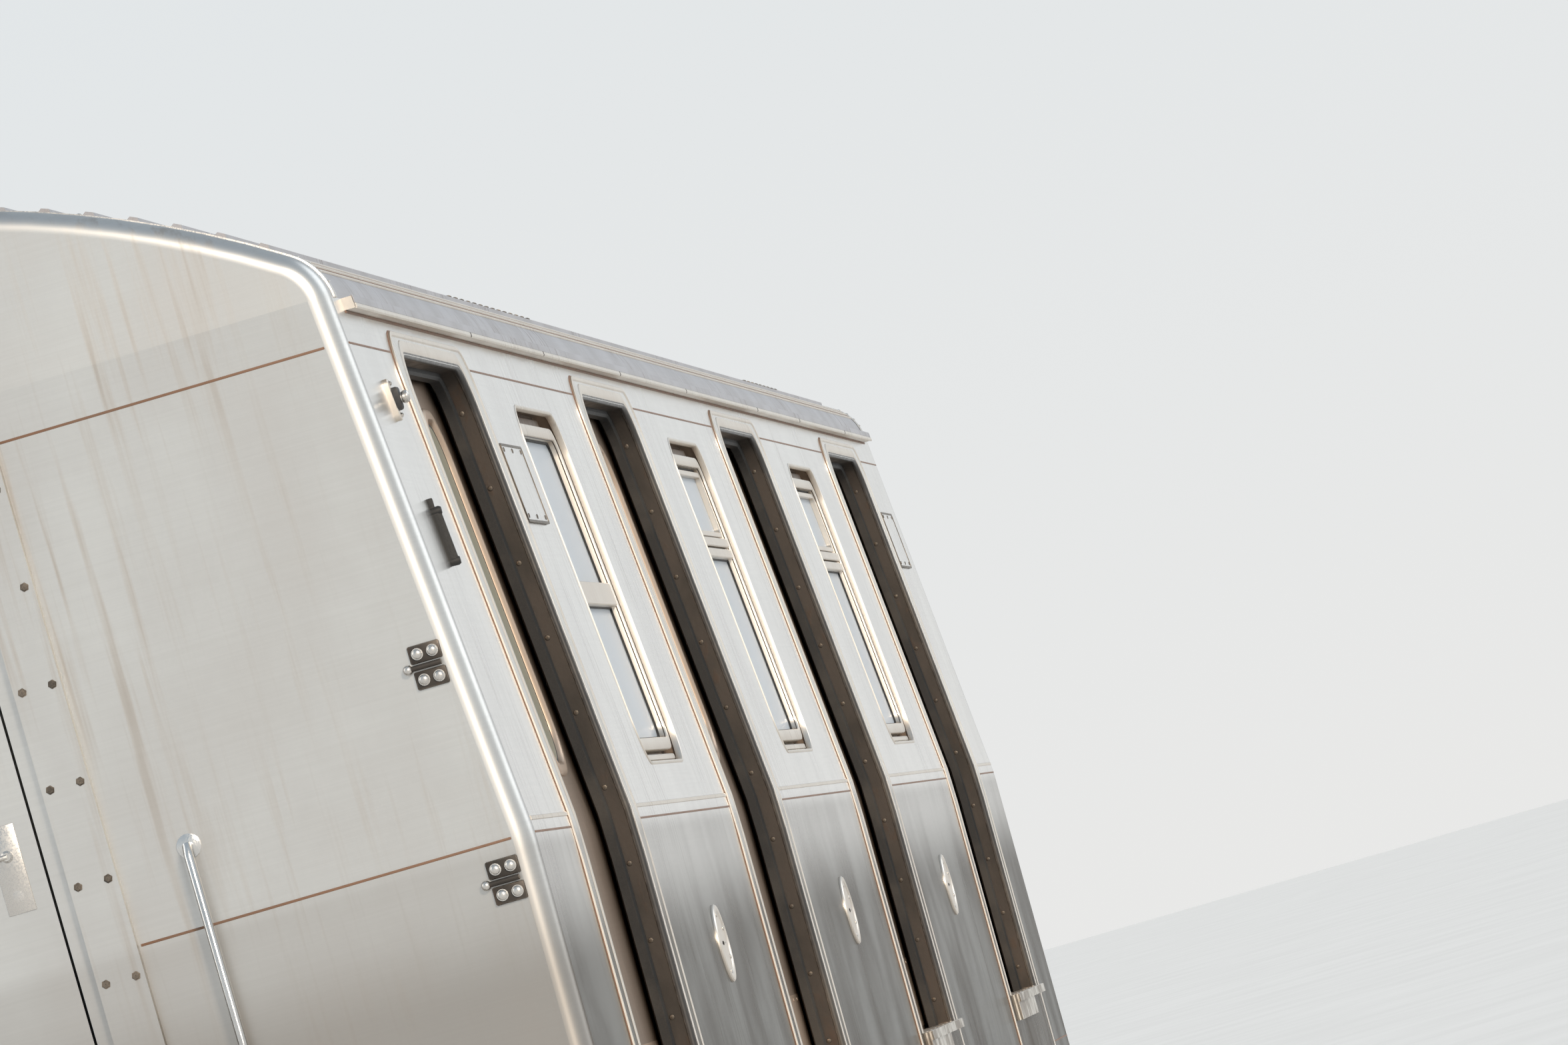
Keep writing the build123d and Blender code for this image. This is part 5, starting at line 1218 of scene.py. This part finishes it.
def bogie_details(centre):
    """Axle end covers, bolts, dampers and their brackets, brake pipes and motor bands."""
    covers, bolts, dampers, hoses, bands = shapes(5)
    for side in PAIR:
        y, out = side * SIDE_FRAME_OUT, (0, side, 0)
        for x in (centre - AXLE, centre + AXLE):
            covers.lathe(AXLE_COVER, out, (x, y, WHEEL_R), 36)
            for i in range(6):
                a = 2 * pi * (i + 0.5) / 6
                place = (x + 0.084 * cos(a), y + side * 0.011, WHEEL_R + 0.084 * sin(a))
                bolts.bolt(place, out, 0.0085, 0.007)
            for dx, z in product((-0.09, 0.09), (0.52, 0.33)):
                bolts.bolt((x + dx, y, z), out, 0.01, 0.008)
            for dx in (-0.2703, 0.2703):
                bolts.bolt((x + dx, y, 0.68), out, 0.011, 0.008)
        for way in PAIR:
            x = centre + way * 0.3
            y_damper = side * (SIDE_FRAME_OUT + 0.033)
            dampers.lathe(DAMPER, (0, 0, 1), (x, y_damper, 0.52), 20)
            for z in (0.52, 0.815):
                dampers.slab(x - 0.022, x + 0.022, y - side * 0.002, y_damper + side * 0.012,
                             z - 0.002, z + 0.016)
            dampers.slab(centre, x + way * 0.022, y - side * 0.03, y + side * 0.004,
                         0.795, 0.831, 0.004)
        path = [(centre + dx, side * (SIDE_FRAME_OUT + 0.01), z) for dx, z in mm(BRAKE_PIPE)]
        hoses.tube(path, 0.0085)
        for dx, z in mm(PIPE_CLIPS):
            x = centre + dx
            hoses.slab(x - 0.01, x + 0.01, y - side * 0.002, y + side * 0.021,
                       z - 0.016, z + 0.011, 0.002)
    for x in (centre - MOTOR_X, centre + MOTOR_X):
        for k in range(6):
            bands.lathe("203 0, 216.5 0, 216.5 14, 203 14, 203 0", (0, 1, 0),
                        (x, -0.255 + k * 0.096, MOTOR_Z), 40)
        for way in PAIR:
            face, out = way * 0.3, (0, way, 0)
            for i in range(10):
                a = 2 * pi * i / 10
                place = (x + 0.165 * cos(a), face, MOTOR_Z + 0.165 * sin(a))
                bolts.bolt(place, out, 0.008, 0.007)
            bands.lathe("0 0, 105 0, 98 12, 45 16, 0 16", out, (x, face, MOTOR_Z), 32)
    return covers, bolts, dampers, hoses, bands


for word, end in ENDS.items():
    centre = end * BOGIE_X
    dress([*springs(centre), *bogie_details(centre)], "bogie_" + word, "_" + word,
          ("coil_springs", CAST, "spring_rubber", 60, "bogie_springs_" + word),
          ("spring_seats", CAST, "cast_steel"), ("air_springs", RUBBER, "spring_rubber", 50),
          ("axle_covers", CASE, "case_grey"), ("bogie_bolts", DULL, "fitting_steel"),
          ("bogie_dampers", PIPE, "fitting_steel"), ("bogie_pipes", PIPE, "fitting_steel"),
          ("motor_bands", CAST, "cast_steel"))


# Wheelsets: dished wheels with rounded flanges on a shaped axle, in place of the CAD ones

# radius, distance from the middle of the axle
WHEELSET = mm(
    "78 0, 78 590, 86 630, 94 655, 121 658, 124 690, 136 716, 160 724, 220 722, 300 706, "
    "352 692, 366 682, 376 679.7, 436 679.7, 452 681.2, 458.5 687.5, 459.7 694, 456.5 701.5, "
    "444 708, 436.5 715, 433.5 730, 432 745, 431.2 790, 429 806, 424.5 812, 390 812.4, "
    "380 808, 368 770, 356 740, 300 736, 220 753, 160 762, 138 774, 126 800, 123 812, "
    "98 814, 76 820, 64 835, 61.5 860, 61.5 1030, 56 1040, 0 1040")
TREAD_BAND = mm("432.5 738, 431.6 790, 429.3 806, 427 804, 430 738, 432.5 738")


def wheelset(body):
    low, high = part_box(body)
    centre = ((low[0] + high[0]) / 2, 0, WHEEL_R)
    turned, tread = shapes(2)
    turned.lathe([(r, -y) for r, y in reversed(WHEELSET)] + WHEELSET[1:], (0, 1, 0), centre, 72)
    for side in PAIR:
        tread.lathe([(r, side * y) for r, y in TREAD_BAND], (0, 1, 0), centre, 72)
    return turned, tread


for number in "1234":
    body = "wheelset_" + number
    dress(wheelset(body), body, "_" + number,
          ("wheels", WHEEL, "wheel_steel", 40, body), ("wheel_treads", TREAD, "wheel_steel"))


# Interior: scooped benches in place of the CAD ones, pole fittings

# distance from the wall, height above the floor, share of the scoop that a point follows
BENCH = [
    (0, 0.33, 0), (0.09, 0.3, 0), (0.09, 0, 0), (0.36, 0, 0), (0.36, 0.33, 0),
    (0.43, 0.345, 0), (0.452, 0.36, 0), (0.46, 0.39, 0.2), (0.456, 0.418, 0.5),
    (0.44, 0.428, 0.8), (0.36, 0.418, 1), (0.26, 0.408, 1), (0.16, 0.405, 0.9),
    (0.11, 0.412, 0.6), (0.09, 0.44, 0.7), (0.078, 0.56, 1), (0.066, 0.7, 0.9),
    (0.054, 0.82, 0.4), (0.046, 0.852, 0.1), (0.034, 0.86, 0), (0.02, 0.856, 0),
    (0.012, 0.6, 0),
]
SEAT_PITCH, SCOOP, BACK_FOOT = 0.445, 0.016, 0.44


def benches():
    bench = Shape()
    back = half_width(FLOOR, WALL)
    for span, side in product(panel_spans(DOOR_HALF + 0.12), SIDES.values()):
        x0, x1 = max(span[0], 0.06 - SHEET_END), min(span[1], SHEET_END - 0.06)
        steps = max(1, round((x1 - x0) / SEAT_PITCH)) * 8
        rings = []
        for i in range(steps + 1):
            scoop = SCOOP * (0.5 - 0.5 * cos(2 * pi * i / 8))
            ring = []
            for across, up, share in BENCH:
                deep = scoop * share
                out, lower = (deep * 0.4, deep) if up < BACK_FOOT else (deep, 0.0)
                ring.append((x0 + (x1 - x0) * i / steps, side * (back - across + out),
                             FLOOR + up - lower))
            rings.append(ring)
        bench.sweep(rings)
    bench.make("bench_seats", "carbody", SEAT, "seat_shell", 50, "seats")


def pole_fittings():
    fittings = Shape()
    for x in DOOR_X:
        for z, way in ((FLOOR, 1), (EAVES, -1)):
            fittings.lathe("0 0, 55 0, 55 5, 30 12, 24 45, 17 48, 0 48", (0, 0, way),
                           (x, 0, z), 28)
        for z in (FLOOR + 0.85, FLOOR + 1.55):
            fittings.lathe("17 0, 21 3, 21 40, 17 43", (0, 0, 1), (x, 0, z))
    fittings.make("pole_fittings", "carbody", POLE, "pole_steel")


benches()
pole_fittings()


# Camera, floor and light

EYE = Vector((-37.491, -4.186, 1.496 + LIFT))
YAW, PITCH, ROLL = 0.069, 0.032, -0.282
FOCAL_PIXELS, PHOTO_WIDTH, SENSOR = 19531.0, 2352.0, 36.0
FLOOR_HALF = 260.0


def camera():
    """The photograph's own viewpoint: far behind the rear end, close beside the right side."""
    ahead = Vector((cos(PITCH) * cos(YAW), cos(PITCH) * sin(YAW), sin(PITCH)))
    right = ahead.cross(Vector((0, 0, 1))).normalized()
    up = right.cross(ahead)
    across = right * cos(ROLL) + up * sin(ROLL)
    upward = up * cos(ROLL) - right * sin(ROLL)
    data = bpy.data.cameras.new("camera")
    data.sensor_width = SENSOR
    data.lens = FOCAL_PIXELS * SENSOR / PHOTO_WIDTH
    data.clip_start, data.clip_end = 0.5, 900.0
    eye = bpy.data.objects.new("camera", data)
    bpy.context.scene.collection.objects.link(eye)
    turn = Matrix((across, upward, -ahead)).transposed().to_4x4()
    eye.matrix_world = Matrix.Translation(EYE) @ turn
    bpy.context.scene.camera = eye


def floor():
    mesh = bpy.data.meshes.new("floor")
    r = FLOOR_HALF
    mesh.from_pydata([(-r, -r, 0), (r, -r, 0), (r, r, 0), (-r, r, 0)], [], [[0, 1, 2, 3]])
    f = Finish("studio_floor", rough=0.85)
    f.colour(f.mix(f.span(f.noise(0.7), 0.3, 0.7), (0.76, 0.745, 0.72), (0.8, 0.785, 0.76)))
    f.bump(f.noise(60.0), 0.0004, 0.3)
    mesh.materials.append(f.material)
    plane = bpy.data.objects.new("floor", mesh)
    bpy.context.scene.collection.objects.link(plane)


def lamp(name, place, strength, spread, colour):
    """Soft light from the direction of place, even over the floor, spread degrees wide."""
    data = bpy.data.lights.new(name, "SUN")
    data.energy, data.angle, data.color = strength, radians(spread), colour
    light = bpy.data.objects.new(name, data)
    light.location = place
    light.rotation_euler = (-Vector(place)).to_track_quat("-Z", "Y").to_euler()
    bpy.context.scene.collection.objects.link(light)


# height in the sky from the lowest to the highest, colour
SKY = [
    (0.0, (0.9, 0.9, 0.89, 1)), (0.1, (0.84, 0.88, 0.9, 1)),
    (0.35, (0.62, 0.7, 0.77, 1)), (1.0, (0.44, 0.52, 0.61, 1)),
]


def studio():
    world = bpy.data.worlds.new("studio")
    bpy.context.scene.world = world
    world.use_nodes = True
    nodes, links = world.node_tree.nodes, world.node_tree.links
    split = nodes.new("ShaderNodeSeparateXYZ")
    links.new(nodes.new("ShaderNodeTexCoord").outputs["Generated"], split.inputs[0])
    ramp = nodes.new("ShaderNodeValToRGB")
    steps = ramp.color_ramp.elements
    steps[0].position, steps[0].color = SKY[0]
    steps[1].position, steps[1].color = SKY[-1]
    for position, colour in SKY[1:-1]:
        steps.new(position).color = colour
    links.new(split.outputs["Z"], ramp.inputs[0])
    links.new(ramp.outputs[0], nodes["Background"].inputs["Color"])
    nodes["Background"].inputs["Strength"].default_value = 0.9
    lamp("key", (-26.0, -13.0, 12.0), 2.3, 12.0, (1.0, 0.86, 0.7))
    lamp("fill", (14.0, -20.0, 9.0), 0.6, 45.0, (0.92, 0.96, 1.0))
    lamp("back", (0.0, 22.0, 12.0), 0.7, 45.0, (1.0, 0.95, 0.88))


camera()
floor()
studio()
bpy.context.scene.view_settings.view_transform = "Standard"
